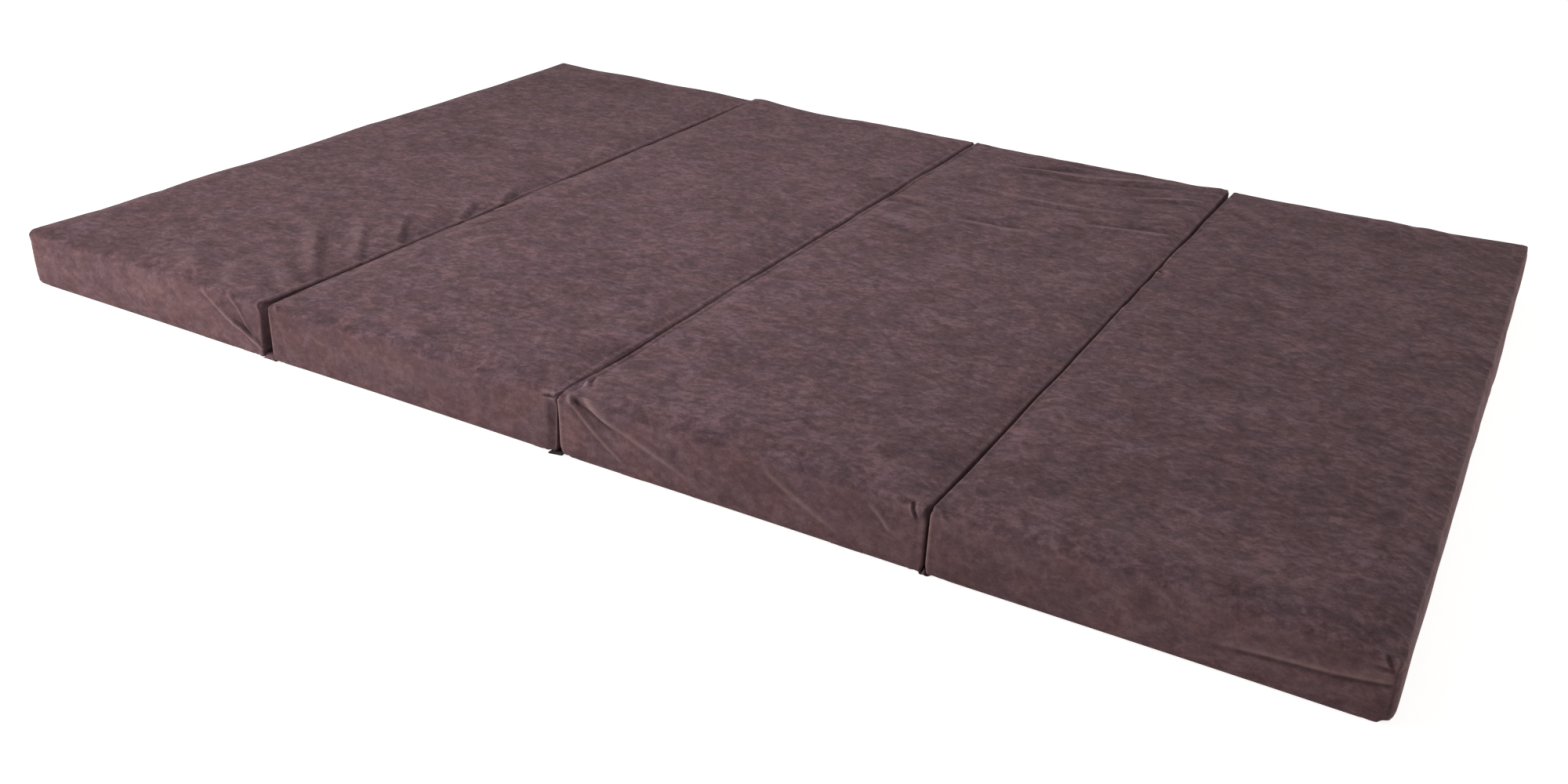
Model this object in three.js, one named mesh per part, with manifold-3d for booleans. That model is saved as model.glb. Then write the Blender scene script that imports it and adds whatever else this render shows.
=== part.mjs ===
// A four-section folding foam mattress, laid out flat as a bed. Units are millimetres, +Z is up.
// X runs along the bed from panel 1 to panel 4, the far end of every panel (its zip) faces +Y,
// and the origin is on the floor under the middle of the whole bed.
//
// Folds 1 and 3 hinge along the bottom edges and fold 2 along the top edges, so that the bed closes like
// an accordion, or with fold 2 at a right angle stands up as a chair.

import * as THREE from 'three';
import { mergeVertices } from 'three/addons/utils/BufferGeometryUtils.js';
import Module from 'manifold-3d';

const wasm = await Module();
wasm.setup();

// The bed

const panelCount = 4;
const panelPitch = 500;
const bedDepth = 1350;
const foldGap = 6;
const seamClearance = 0.3;
const cutOverrun = 2;

// The padded form of a panel

const edgeHeight = 87.5;
const crownRise = 4;
const crownReach = 150;
const topEdgeRadius = 22;
const foldEdgeReach = 12;
const bottomEdgeRadius = 9;
const outerCornerRadius = 18;
const foldCornerRadius = 7;
const sharpestCornerRadius = 4;
const wallBulge = 1.5;
const longSideDrawIn = 2.5;
const nearEndDrawIn = 3;

// The fabric and what it holds

const coverThickness = 1.4;
const hemWidth = 14;
const baseThickness = 1.2;
const stripThickness = 1.2;
const topStripHalfWidth = 12;
const topStripValleyHalfWidth = 6;
const topStripEndMargin = 25;
const bottomStripEndMargin = 10;

// The zip in the far end of a cover

const zipEndMargin = 32;
const zipSlotHeight = 20;
const zipFlatBandHeight = 30;
const tapeThickness = 0.9;
const coilRadius = 1.1;
const coilSpacing = 4;
const sliderLength = 12;
const sliderWall = 1.2;
const sliderNeck = 1.2;
const sliderEndMargin = 9;
const bridgeLength = 10;
const bridgeWidth = 2;
const bridgeBar = 1.3;
const bridgeHole = 2.5;
const pullLength = 32;
const pullWidth = 7;
const pullTipWidth = 4.6;
const pullEyeWidth = 6;
const pullThickness = 1.2;
const pullEyeBar = 1.4;
const pullWindowLength = 5.5;
const pullWindowWidth = 3;

// How finely the curved forms are stepped

const longSideSteps = 10;
const shortSideSteps = 5;
const cornerSteps = 2;
const topEdgeSteps = 3;
const bottomEdgeSteps = 2;
const crownRingShares = [0.15, 0.42, 1];
const coilSteps = 8;
const stripSteps = 5;

// Finishes

const velour = { color: 0x66504f, roughness: 0.9, metalness: 0 };
const baseCloth = { color: 0x5a4746, roughness: 0.95, metalness: 0 };
const foam = { color: 0xe8e0c8, roughness: 1, metalness: 0 };
const zipTape = { color: 0x54413f, roughness: 0.85, metalness: 0 };
const zipMetal = { color: 0x5c5450, roughness: 0.4, metalness: 0.9 };

// Places worked out from the sizes

const coverWidth = panelPitch - foldGap;
const zipLength = coverWidth - 2 * zipEndMargin;
const coilHalfSpacing = coilSpacing / 2;
const tapeSetBack = coverThickness / 2;
const sliderHalfDepth = coilRadius + seamClearance + sliderWall;
const pullAxisHeight = sliderHalfDepth + bridgeHole / 2;
const zipProud = sliderHalfDepth + bridgeHole + bridgeBar - tapeSetBack;
const farEnd = (bedDepth - zipProud) / 2;
const nearEnd = farEnd - bedDepth;
const zipHeight = (bottomEdgeRadius + edgeHeight - topEdgeRadius) / 2;
const sliderRest = zipLength / 2 - sliderEndMargin - sliderLength / 2;
const foamOffset = coverThickness + seamClearance;
const zipPocket = tapeSetBack + sliderHalfDepth + seamClearance;

// The two kinds of long side: one closes on its neighbour at a fold, the other is an end of the bed.
const foldSide = { edgeReach: foldEdgeReach, cornerRadius: foldCornerRadius };
const outerSide = { edgeReach: topEdgeRadius, cornerRadius: outerCornerRadius };

function sidesOf(index) {
  return {
    left: index === 0 ? outerSide : foldSide,
    right: index === panelCount - 1 ? outerSide : foldSide,
  };
}

function panelCentre(index) {
  return (index - (panelCount - 1) / 2) * panelPitch;
}

function foldPlace(index) {
  return (index + 1 - panelCount / 2) * panelPitch;
}

// One level ring of a panel's padded form, anticlockwise from the far end of its +X side.
// The insets are measured inwards from the widest outline, at the two long sides and at the ends, and
// drawShare says how much of the drawn-in sides it follows.
function ringPoints(sides, far, insets, height, drawShare) {
  const leftX = insets.left - coverWidth / 2;
  const rightX = coverWidth / 2 - insets.right;
  const low = nearEnd + insets.end;
  const high = far - insets.end;
  const leftRadius = Math.max(sides.left.cornerRadius - insets.end, sharpestCornerRadius);
  const rightRadius = Math.max(sides.right.cornerRadius - insets.end, sharpestCornerRadius);
  const points = [];

  function addCorner(centreX, centreY, radius, startTurn) {
    for (let step = 0; step <= cornerSteps; step += 1) {
      const angle = (startTurn + step / cornerSteps) * Math.PI / 2;
      points.push(new THREE.Vector3(
        centreX + radius * Math.cos(angle),
        centreY + radius * Math.sin(angle),
        height,
      ));
    }
  }

  function addSide(from, to, steps, inward, drawIn) {
    for (let step = 1; step < steps; step += 1) {
      const share = step / steps;
      const point = from.clone().lerp(to, share);
      const depth = drawIn * drawShare * 4 * share * (1 - share);
      points.push(point.addScaledVector(inward, depth));
    }
  }

  addCorner(rightX - rightRadius, high - rightRadius, rightRadius, 0);
  addSide(
    new THREE.Vector3(rightX - rightRadius, high, height),
    new THREE.Vector3(leftX + leftRadius, high, height),
    shortSideSteps,
    new THREE.Vector3(0, -1, 0),
    0,
  );
  addCorner(leftX + leftRadius, high - leftRadius, leftRadius, 1);
  addSide(
    new THREE.Vector3(leftX, high - leftRadius, height),
    new THREE.Vector3(leftX, low + leftRadius, height),
    longSideSteps,
    new THREE.Vector3(1, 0, 0),
    longSideDrawIn,
  );
  addCorner(leftX + leftRadius, low + leftRadius, leftRadius, 2);
  addSide(
    new THREE.Vector3(leftX + leftRadius, low, height),
    new THREE.Vector3(rightX - rightRadius, low, height),
    shortSideSteps,
    new THREE.Vector3(0, 1, 0),
    nearEndDrawIn,
  );
  addCorner(rightX - rightRadius, low + rightRadius, rightRadius, 3);
  addSide(
    new THREE.Vector3(rightX, low + rightRadius, height),
    new THREE.Vector3(rightX, high - rightRadius, height),
    longSideSteps,
    new THREE.Vector3(-1, 0, 0),
    longSideDrawIn,
  );
  return points;
}

// A closed body through level rings, from the lowest to the highest, with flat caps.
function lofted(rings) {
  const count = rings[0].length;
  const positions = rings.flat().flatMap((point) => point.toArray());
  const indices = [];
  for (let level = 0; level + 1 < rings.length; level += 1) {
    for (let step = 0; step < count; step += 1) {
      const next = (step + 1) % count;
      const a = level * count + step;
      const b = level * count + next;
      indices.push(a, b, b + count);
      indices.push(a, b + count, a + count);
    }
  }
  const addCap = (level, facesUp) => {
    const outline = rings[level].map((point) => new THREE.Vector2(point.x, point.y));
    for (const [a, b, c] of THREE.ShapeUtils.triangulateShape(outline, [])) {
      const start = level * count;
      indices.push(start + a, start + (facesUp ? b : c), start + (facesUp ? c : b));
    }
  };
  addCap(0, false);
  addCap(rings.length - 1, true);
  const geometry = new THREE.BufferGeometry();
  geometry.setAttribute('position', new THREE.Float32BufferAttribute(positions, 3));
  geometry.setIndex(indices);
  return geometry;
}

// The padded form of a panel, drawn in evenly by offset all round: rounded edges, walls that belly out a
// little at mid-height, sides drawn in between the corners, and a top that rises to a flat crown.
function paddedForm(sides, offset, floorHeight, farSetBack) {
  const far = farEnd - farSetBack;
  const rings = [];
  // The inset counts all round, and turned says how far the ring has come round the rounded top edge.
  const addRing = (inset, turned, height, drawShare) => {
    const insets = {
      left: offset + inset + (sides.left.edgeReach - offset) * turned,
      right: offset + inset + (sides.right.edgeReach - offset) * turned,
      end: offset + inset + (topEdgeRadius - offset) * turned,
    };
    rings.push(ringPoints(sides, far, insets, height, drawShare));
  };
  const bottomRadius = bottomEdgeRadius - offset;
  const topRadius = topEdgeRadius - offset;

  for (let step = 0; step <= bottomEdgeSteps; step += 1) {
    const angle = (step / bottomEdgeSteps) * Math.PI / 2;
    const inset = wallBulge + bottomRadius * (1 - Math.sin(angle));
    addRing(inset, 0, floorHeight + bottomRadius * (1 - Math.cos(angle)), 1);
  }
  addRing(0, 0, zipHeight - zipFlatBandHeight / 2, 1);
  addRing(0, 0, zipHeight + zipFlatBandHeight / 2, 1);
  const topCentre = edgeHeight - topEdgeRadius;
  for (let step = 0; step <= topEdgeSteps; step += 1) {
    const angle = (step / topEdgeSteps) * Math.PI / 2;
    addRing(wallBulge, 1 - Math.cos(angle), topCentre + topRadius * Math.sin(angle), 1);
  }
  for (const share of crownRingShares) {
    const rise = crownRise * (1 - (1 - share) ** 2);
    addRing(wallBulge + crownReach * share, 1, edgeHeight - offset + rise, 1 - share);
  }
  return lofted(rings);
}

// A flat plate with the outline that the cover's underside leaves open, drawn in by inset.
function openingPlate(sides, inset, lowest, highest) {
  const insets = { left: inset, right: inset, end: inset };
  const ring = (height) => ringPoints(sides, farEnd, insets, height, 1);
  return lofted([ring(lowest), ring(highest)]);
}

function box(size, centre) {
  const geometry = new THREE.BoxGeometry(size.x, size.y, size.z);
  geometry.translate(centre.x, centre.y, centre.z);
  return geometry;
}

// Boolean cuts and joins on closed three.js geometries

function asSolid(geometry) {
  const bare = geometry.clone();
  bare.deleteAttribute('normal');
  bare.deleteAttribute('uv');
  const merged = mergeVertices(bare);
  return new wasm.Manifold(new wasm.Mesh({
    numProp: 3,
    vertProperties: new Float32Array(merged.attributes.position.array),
    triVerts: new Uint32Array(merged.index.array),
  }));
}

function asGeometry(solid) {
  const mesh = solid.getMesh();
  const geometry = new THREE.BufferGeometry();
  geometry.setAttribute('position', new THREE.BufferAttribute(mesh.vertProperties, 3));
  geometry.setIndex(new THREE.BufferAttribute(mesh.triVerts, 1));
  return geometry;
}

function cut(geometry, ...tools) {
  return asGeometry(tools.reduce((solid, tool) => solid.subtract(asSolid(tool)), asSolid(geometry)));
}

function joined(geometry, ...others) {
  return asGeometry(others.reduce((solid, other) => solid.add(asSolid(other)), asSolid(geometry)));
}

// Extrudes an outline drawn in Y and Z along X, centred on X = 0.
function extrudedAlongX(outline, length) {
  const geometry = new THREE.ExtrudeGeometry(outline, {
    depth: length,
    bevelEnabled: false,
    curveSegments: coilSteps,
  });
  geometry.translate(0, 0, -length / 2);
  geometry.applyMatrix4(new THREE.Matrix4().makeBasis(
    new THREE.Vector3(0, 1, 0),
    new THREE.Vector3(0, 0, 1),
    new THREE.Vector3(1, 0, 0),
  ));
  return geometry;
}

function outlineOf(points) {
  return new THREE.Shape(points.map(([across, up]) => new THREE.Vector2(across, up)));
}

// The cover: a fabric shell that is open underneath inside its hem, with a slot for the zip

function coverGeometry(sides) {
  const cavity = paddedForm(sides, coverThickness, coverThickness, 0);
  const opening = openingPlate(
    sides,
    wallBulge + bottomEdgeRadius + hemWidth,
    -cutOverrun,
    coverThickness + cutOverrun,
  );
  const slot = box(
    new THREE.Vector3(zipLength, coverThickness + 2 * cutOverrun, zipSlotHeight),
    new THREE.Vector3(0, farEnd - tapeSetBack, zipHeight),
  );
  return cut(paddedForm(sides, 0, 0, 0), cavity, opening, slot);
}

function baseClothGeometry(sides) {
  return openingPlate(
    sides,
    wallBulge + bottomEdgeRadius + hemWidth + seamClearance,
    0,
    baseThickness,
  );
}

function foamCoreGeometry(sides) {
  return paddedForm(sides, foamOffset, foamOffset, zipPocket - foamOffset);
}

// The zip, drawn round the middle of its chain: Y is out of the cover, Z up, X along the chain

// One tape, above the chain's middle, with its half of the coil along the lower edge.
function zipTapeGeometry() {
  const outer = zipSlotHeight / 2 - seamClearance;
  const halfTape = tapeThickness / 2;
  const grip = Math.asin(halfTape / coilRadius);
  const outline = new THREE.Shape();
  outline.moveTo(-halfTape, outer);
  outline.lineTo(-halfTape, coilHalfSpacing + coilRadius * Math.cos(grip));
  outline.absarc(0, coilHalfSpacing, coilRadius, Math.PI / 2 + grip, 5 * Math.PI / 2 - grip, false);
  outline.lineTo(halfTape, outer);
  outline.closePath();
  return extrudedAlongX(outline, zipLength - 2 * seamClearance);
}

// The slider: a front and a back plate joined by a neck between the two coils, flanges outside them, and
// a bridge for the pull.
function zipSliderGeometry() {
  const plate = coilRadius + seamClearance;
  const flange = coilHalfSpacing + coilRadius + seamClearance;
  const flangeFoot = tapeThickness / 2 + seamClearance;
  const side = flange + sliderWall;
  const neck = sliderNeck / 2;
  const body = extrudedAlongX(outlineOf([
    [sliderHalfDepth, -side], [sliderHalfDepth, side], [flangeFoot, side], [flangeFoot, flange],
    [plate, flange], [plate, neck], [-plate, neck], [-plate, flange], [-sliderHalfDepth, flange],
    [-sliderHalfDepth, -flange], [-plate, -flange], [-plate, -neck], [plate, -neck],
    [plate, -flange], [flangeFoot, -flange], [flangeFoot, -side],
  ]), sliderLength);
  const rise = bridgeHole + bridgeBar;
  const bridge = box(
    new THREE.Vector3(bridgeLength, rise + sliderWall / 2, bridgeWidth),
    new THREE.Vector3(0, sliderHalfDepth + (rise - sliderWall / 2) / 2, 0),
  );
  const hole = box(
    new THREE.Vector3(bridgeLength - 2 * bridgeBar, bridgeHole, bridgeWidth + 2 * cutOverrun),
    new THREE.Vector3(0, sliderHalfDepth + bridgeHole / 2, 0),
  );
  return joined(body, cut(bridge, hole));
}

// The pull, drawn in X and Z about its hinge: an eye bar in the bridge, a window that clears the bridge,
// and a tab that points to -X.
function zipPullGeometry() {
  const eye = pullEyeBar / 2;
  const shoulder = eye + pullWindowLength;
  const outline = outlineOf([
    [eye, -pullEyeWidth / 2], [eye, pullEyeWidth / 2], [-shoulder, pullEyeWidth / 2],
    [-shoulder - pullEyeBar, pullWidth / 2], [-pullLength, pullTipWidth / 2],
    [-pullLength, -pullTipWidth / 2], [-shoulder - pullEyeBar, -pullWidth / 2],
    [-shoulder, -pullEyeWidth / 2],
  ]);
  const window = outlineOf([
    [-eye, -pullWindowWidth / 2], [-shoulder, -pullWindowWidth / 2],
    [-shoulder, pullWindowWidth / 2], [-eye, pullWindowWidth / 2],
  ]);
  outline.holes.push(window);
  const geometry = new THREE.ExtrudeGeometry(outline, { depth: pullThickness, bevelEnabled: false });
  geometry.translate(0, 0, -pullThickness / 2);
  geometry.rotateX(Math.PI / 2);
  return geometry;
}

// The strips that hinge neighbouring panels together, drawn across X and Z about the fold

// How far in from a panel's widest outline its bottom edge has risen to a height.
function bottomEdgeInset(height) {
  const drop = bottomEdgeRadius - height;
  return wallBulge + bottomEdgeRadius - Math.sqrt(bottomEdgeRadius ** 2 - drop ** 2);
}

// The height of a panel's rounded top edge at a distance from the middle of the fold.
function topEdgeHeight(distance) {
  const inset = Math.max(distance - foldGap / 2 - wallBulge, 0);
  const share = Math.max(1 - inset / foldEdgeReach, 0);
  return edgeHeight - topEdgeRadius + topEdgeRadius * Math.sqrt(1 - share ** 2);
}

function stripAlongY(outline, endMargin) {
  const length = farEnd - nearEnd - 2 * endMargin;
  const geometry = new THREE.ExtrudeGeometry(outline, { depth: length, bevelEnabled: false });
  geometry.rotateX(Math.PI / 2);
  geometry.translate(0, (nearEnd + farEnd + length) / 2, 0);
  return geometry;
}

function bottomStripGeometry() {
  const inset = bottomEdgeInset(stripThickness + seamClearance);
  const halfWidth = foldGap / 2 + inset - seamClearance;
  return stripAlongY(outlineOf([
    [-halfWidth, 0], [halfWidth, 0], [halfWidth, stripThickness], [-halfWidth, stripThickness],
  ]), bottomStripEndMargin);
}

function topStripGeometry() {
  const under = [];
  const over = [];
  for (let step = -stripSteps; step <= stripSteps; step += 1) {
    const across = topStripHalfWidth * step / stripSteps;
    const height = topEdgeHeight(Math.max(Math.abs(across), topStripValleyHalfWidth));
    under.push([across, height + 2 * seamClearance]);
    over.unshift([across, height + 2 * seamClearance + stripThickness]);
  }
  return stripAlongY(outlineOf([...under, ...over]), topStripEndMargin);
}

// The assembly

const bed = new THREE.Group();

function addPiece(parent, name, geometry, finish) {
  const mesh = new THREE.Mesh(geometry, new THREE.MeshStandardMaterial(finish));
  mesh.name = name;
  parent.add(mesh);
  return mesh;
}

function addZip(panel, name) {
  const chain = new THREE.Group();
  chain.position.set(0, farEnd - tapeSetBack, zipHeight);
  panel.add(chain);
  addPiece(chain, `${name}_zip_tape_upper`, zipTapeGeometry(), zipTape);
  const lower = addPiece(chain, `${name}_zip_tape_lower`, zipTapeGeometry(), zipTape);
  lower.rotation.x = Math.PI;
  const slider = addPiece(chain, `${name}_zip_slider`, zipSliderGeometry(), zipMetal);
  slider.position.x = sliderRest;
  const pull = addPiece(chain, `${name}_zip_pull`, zipPullGeometry(), zipMetal);
  pull.position.set(sliderRest, pullAxisHeight, 0);
}

function addPanel(index) {
  const name = `panel_${index + 1}`;
  const sides = sidesOf(index);
  const panel = new THREE.Group();
  panel.position.x = panelCentre(index);
  bed.add(panel);
  addPiece(panel, `${name}_foam_core`, foamCoreGeometry(sides), foam);
  addPiece(panel, `${name}_cover`, coverGeometry(sides), velour);
  addPiece(panel, `${name}_base_cloth`, baseClothGeometry(sides), baseCloth);
  addZip(panel, name);
}

function addHingeStrip(index) {
  const hingesOnTop = index % 2 === 1;
  const geometry = hingesOnTop ? topStripGeometry() : bottomStripGeometry();
  const strip = addPiece(bed, `fold_${index + 1}_hinge_strip`, geometry, velour);
  strip.position.x = foldPlace(index);
}

for (let index = 0; index < panelCount; index += 1) {
  addPanel(index);
}
for (let index = 0; index + 1 < panelCount; index += 1) {
  addHingeStrip(index);
}

export default bed;
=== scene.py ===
"""Dresses a four-section folding foam bed: velour covers over foam, base cloths, zips, hinge strips, studio.

Lengths are metres in the frame's own axes: X runs along the bed from panel 1 to panel 4, the zipped far ends
face +Y, and the floor is at Z = 0. Places on a cover are written in millimetres from the panel's middle
line, its near end and the floor.
"""

import logging
import math
from collections.abc import Callable, Iterable, Sequence
from dataclasses import dataclass
from enum import Enum

import bpy
import numpy as np
from mathutils import Matrix, Vector
from mathutils.bvhtree import BVHTree

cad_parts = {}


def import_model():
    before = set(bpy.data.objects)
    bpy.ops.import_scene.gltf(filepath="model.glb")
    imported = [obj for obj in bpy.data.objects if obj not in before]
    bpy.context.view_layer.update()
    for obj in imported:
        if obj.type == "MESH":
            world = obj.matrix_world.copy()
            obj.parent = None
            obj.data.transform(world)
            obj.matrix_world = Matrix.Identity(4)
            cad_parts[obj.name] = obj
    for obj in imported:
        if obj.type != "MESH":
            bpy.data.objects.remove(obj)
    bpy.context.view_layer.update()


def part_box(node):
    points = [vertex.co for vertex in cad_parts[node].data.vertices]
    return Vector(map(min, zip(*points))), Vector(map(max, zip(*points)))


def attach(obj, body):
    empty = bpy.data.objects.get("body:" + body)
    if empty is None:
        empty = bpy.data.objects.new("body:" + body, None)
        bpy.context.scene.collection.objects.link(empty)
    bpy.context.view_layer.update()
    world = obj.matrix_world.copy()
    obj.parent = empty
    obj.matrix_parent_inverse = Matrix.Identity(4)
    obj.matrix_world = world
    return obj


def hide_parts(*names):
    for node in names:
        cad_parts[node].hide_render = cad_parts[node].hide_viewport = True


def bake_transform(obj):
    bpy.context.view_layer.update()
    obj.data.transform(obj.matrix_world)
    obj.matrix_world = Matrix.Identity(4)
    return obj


LOG = logging.getLogger("folding_bed")

MM = 0.001
PANEL_COUNT = 4
# The point attribute that carries painted light: a highlight on crease crests and crisp edges, shade in
# crease valleys.
PAINTED_LIGHT_ATTRIBUTE = "pile"
# An edge that turns by more than this many degrees is shaded sharp.
SHARP_ANGLE = 40
# A face whose normal has this share along an axis counts as facing that way.
SQUARE_ON = 0.9

Points = np.ndarray
Path = tuple[tuple[float, float], ...]
Fades = tuple[float, float]


def srgb(hex_code: str) -> tuple[float, float, float, float]:
    """Turns an sRGB colour into the linear colour that a shader works in.

    Args:
        hex_code: six hex digits.

    Returns:
        Linear red, green and blue, and an alpha of 1.
    """
    values = [int(hex_code[start:start + 2], 16) / 255 for start in (0, 2, 4)]
    linear = [v / 12.92 if v <= 0.04045 else ((v + 0.055) / 1.055) ** 2.4 for v in values]
    return linear[0], linear[1], linear[2], 1.0


def add_node(
    tree: bpy.types.NodeTree,
    kind: str,
    settings: dict[str | int, object] | None = None,
    links: dict[str | int, bpy.types.NodeSocket | bpy.types.Node] | None = None,
) -> bpy.types.Node:
    """Adds one shader node.

    Args:
        tree: the material's node tree.
        kind: the node's type, without the words ShaderNode in front.
        settings: values of its properties or, where it has no such property, of its input sockets.
        links: the socket, or the node by its first output, that feeds each named or numbered input.

    Returns:
        The new node.
    """
    node = tree.nodes.new("ShaderNode" + kind)
    for key, value in (settings or {}).items():
        if isinstance(key, str) and hasattr(node, key):
            setattr(node, key, value)
        else:
            node.inputs[key].default_value = value
    for key, source in (links or {}).items():
        socket = source.outputs[0] if isinstance(source, bpy.types.Node) else source
        tree.links.new(socket, node.inputs[key])
    return node


def cleared_tree(owner: bpy.types.Material | bpy.types.World) -> bpy.types.NodeTree:
    """Gives a material or a world a node tree of its own, with nothing in it."""
    owner.use_nodes = True
    owner.node_tree.nodes.clear()
    return owner.node_tree


@dataclass(frozen=True)
class Finish:
    """What every finish has: a name, and a node tree that ends in a Principled shader."""

    name: str

    def material(self) -> bpy.types.Material:
        """Builds the material."""
        material = bpy.data.materials.new(self.name)
        tree = cleared_tree(material)
        shader = self.shader(tree, add_node(tree, "TexCoord").outputs["Object"])
        add_node(tree, "OutputMaterial", {}, {"Surface": shader})
        return material

    def shader(self, tree: bpy.types.NodeTree, place: bpy.types.NodeSocket) -> bpy.types.Node:
        """Adds the finish's own nodes.

        Args:
            tree: the material's node tree.
            place: Object coordinates.

        Returns:
            The shader node.
        """
        raise NotImplementedError

    def grain(self, size: float | tuple[float, float, float]) -> dict[str, tuple[float, float, float]]:
        """Gives a Mapping node the scale at which one unit of a pattern is one grain.

        Args:
            size: the grain in millimetres, one length or one for each axis.

        Returns:
            The node's settings.
        """
        sizes = size if isinstance(size, tuple) else (size, size, size)
        return {"Scale": tuple(1 / (length * MM) for length in sizes)}

    def stops(self, node: bpy.types.Node, colours: Sequence[tuple[float, str]]) -> bpy.types.Node:
        """Sets the colours of a Color Ramp node.

        Args:
            node: the ramp.
            colours: places from 0 to 1 with their sRGB hex colours.

        Returns:
            The same node.
        """
        elements = node.color_ramp.elements
        while len(elements) < len(colours):
            elements.new(1.0)
        for element, (place, colour) in zip(elements, colours):
            element.position = place
            element.color = srgb(colour)
        return node


@dataclass(frozen=True)
class Velour(Finish):
    """Crushed polyester velour, dyed mauve-brown: short pile pressed this way and that in small clouds.

    Seen from above, the pile that stands towards the eye looks darker and the pile that is laid flat looks
    paler. The upright sides are painted paler, browner and calmer: partly for the pile that hangs down there,
    partly as painted light, the warmer, stronger light that falls on the sides. A crest gets a painted
    highlight and a valley a painted shade. The dye has taken a little warmer or cooler from place to place.

    Attributes:
        spread: how far the layers stray from their middle value between the darkest and the palest pile.
        layers: the clouds, the flecks, the broad clouds and the pile itself: the grain of each along the
            three axes in millimetres, how far it is distorted, and its weight.
        dye_cloud: the grain of the dye in millimetres.
        dye_range: the values between which the dye turns from warm to cool.
        laid_roughness: the roughness where the pile is laid flat.
        relief: how high the pile stands, in millimetres.
        upright: the shares of the normal along Z from which the colour turns from that of the sides, which
            carries painted light, to that of the top.
    """

    name: str = "crushed polyester velour"
    turned_pile: str = "493a3e"
    middle_pile: str = "5e4a4e"
    laid_pile: str = "775f64"
    # Painted light: the sides' colours are paler and browner than the top's, partly for the hanging pile and
    # partly for the light that falls on the sides.
    side_pile_and_light_dark: str = "5c484c"
    side_pile_and_light_middle: str = "6a5458"
    side_pile_and_light_pale: str = "7a6367"
    warm_dye: str = "fffaf7"
    cool_dye: str = "f7faff"
    # Painted highlight on crests and painted shade in valleys, laid on through the point attribute.
    painted_crest_highlight: str = "a88d8b"
    painted_valley_shade: str = "2a2022"
    sheen_tint: str = "b39a9b"
    spread: float = 0.081
    layers: tuple[tuple[tuple[float, float, float], float, float], ...] = (
        ((26.0, 21.0, 21.0), 0.7, 0.26),
        ((10.5, 8.0, 8.0), 0.5, 0.26),
        ((120.0, 100.0, 100.0), 0.0, 0.13),
        ((3.2, 2.4, 2.4), 0.0, 0.14),
    )
    dye_cloud: float = 48.0
    dye_range: tuple[float, float] = (0.38, 0.62)
    laid_roughness: float = 0.82
    relief: float = 0.22
    upright: tuple[float, float] = (0.35, 0.85)

    def shader(self, tree: bpy.types.NodeTree, place: bpy.types.NodeSocket) -> bpy.types.Node:
        """Adds the velour's nodes."""
        lay = None
        for size, distortion, weight in self.layers:
            space = add_node(tree, "Mapping", self.grain(size), {"Vector": place})
            cloud = add_node(tree, "TexNoise", {
                "Scale": 1.0, "Detail": 3.0, "Roughness": 0.6, "Distortion": distortion,
            }, {"Vector": space})
            under = {2: lay} if lay else {}
            lay = add_node(tree, "Math", {"operation": "MULTIPLY_ADD", 1: weight, 2: 0.0},
                           {0: cloud.outputs["Fac"], **under})
        middle = sum(weight for _, _, weight in self.layers) / 2
        darkest, palest = middle - self.spread, middle + self.spread
        on_top = self.stops(add_node(tree, "ValToRGB", {}, {"Fac": lay}), (
            (darkest, self.turned_pile), (middle, self.middle_pile), (palest, self.laid_pile),
        ))
        # Painted light: a second ramp for the upright sides, partly hanging pile and partly the light on
        # them.
        sides_pile_and_light = self.stops(add_node(tree, "ValToRGB", {}, {"Fac": lay}), (
            (darkest, self.side_pile_and_light_dark), (middle, self.side_pile_and_light_middle), (palest, self.side_pile_and_light_pale),
        ))
        facing = add_node(tree, "SeparateXYZ", {}, {0: add_node(tree, "TexCoord").outputs["Normal"]})
        level = add_node(tree, "Math", {"operation": "ABSOLUTE"}, {0: facing.outputs["Z"]})
        flat = add_node(tree, "MapRange", {
            "interpolation_type": "SMOOTHSTEP", "From Min": self.upright[0], "From Max": self.upright[1],
        }, {"Value": level})
        colour = add_node(tree, "Mix", {"data_type": "RGBA"}, {0: flat, 6: sides_pile_and_light, 7: on_top})
        dye_space = add_node(tree, "Mapping", self.grain(self.dye_cloud), {"Vector": place})
        dye_noise = add_node(tree, "TexNoise", {"Scale": 1.0, "Detail": 3.0}, {"Vector": dye_space})
        dye_share = add_node(tree, "MapRange", {
            "From Min": self.dye_range[0], "From Max": self.dye_range[1],
        }, {"Value": dye_noise.outputs["Fac"]})
        dye = add_node(tree, "Mix", {
            "data_type": "RGBA", 6: srgb(self.warm_dye), 7: srgb(self.cool_dye),
        }, {0: dye_share})
        colour = add_node(tree, "Mix", {"data_type": "RGBA", "blend_type": "MULTIPLY", 0: 1.0},
                          {6: colour.outputs[2], 7: dye.outputs[2]})
        # Painted light: a highlight on crease crests and crisp edges, painted shade in crease valleys.
        crease = add_node(tree, "Attribute", {"attribute_name": PAINTED_LIGHT_ATTRIBUTE}).outputs["Fac"]
        for bound, tint in ((1.0, self.painted_crest_highlight), (-1.0, self.painted_valley_shade)):
            share = add_node(tree, "MapRange", {"From Min": 0.0, "From Max": bound}, {"Value": crease})
            colour = add_node(tree, "Mix", {"data_type": "RGBA", 7: srgb(tint)},
                              {0: share, 6: colour.outputs[2]})
        dullness = add_node(tree, "MapRange", {
            "From Min": darkest, "From Max": palest, "To Min": 1.0, "To Max": self.laid_roughness,
        }, {"Value": lay})
        relief = add_node(tree, "Bump", {"Strength": 1.0, "Distance": self.relief * MM}, {"Height": lay})
        return add_node(tree, "BsdfPrincipled", {
            "Specular IOR Level": 0.15,
            "Sheen Weight": 0.18,
            "Sheen Roughness": 0.4,
            "Sheen Tint": srgb(self.sheen_tint),
        }, {"Base Color": colour.outputs[2], "Roughness": dullness, "Normal": relief})


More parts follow.
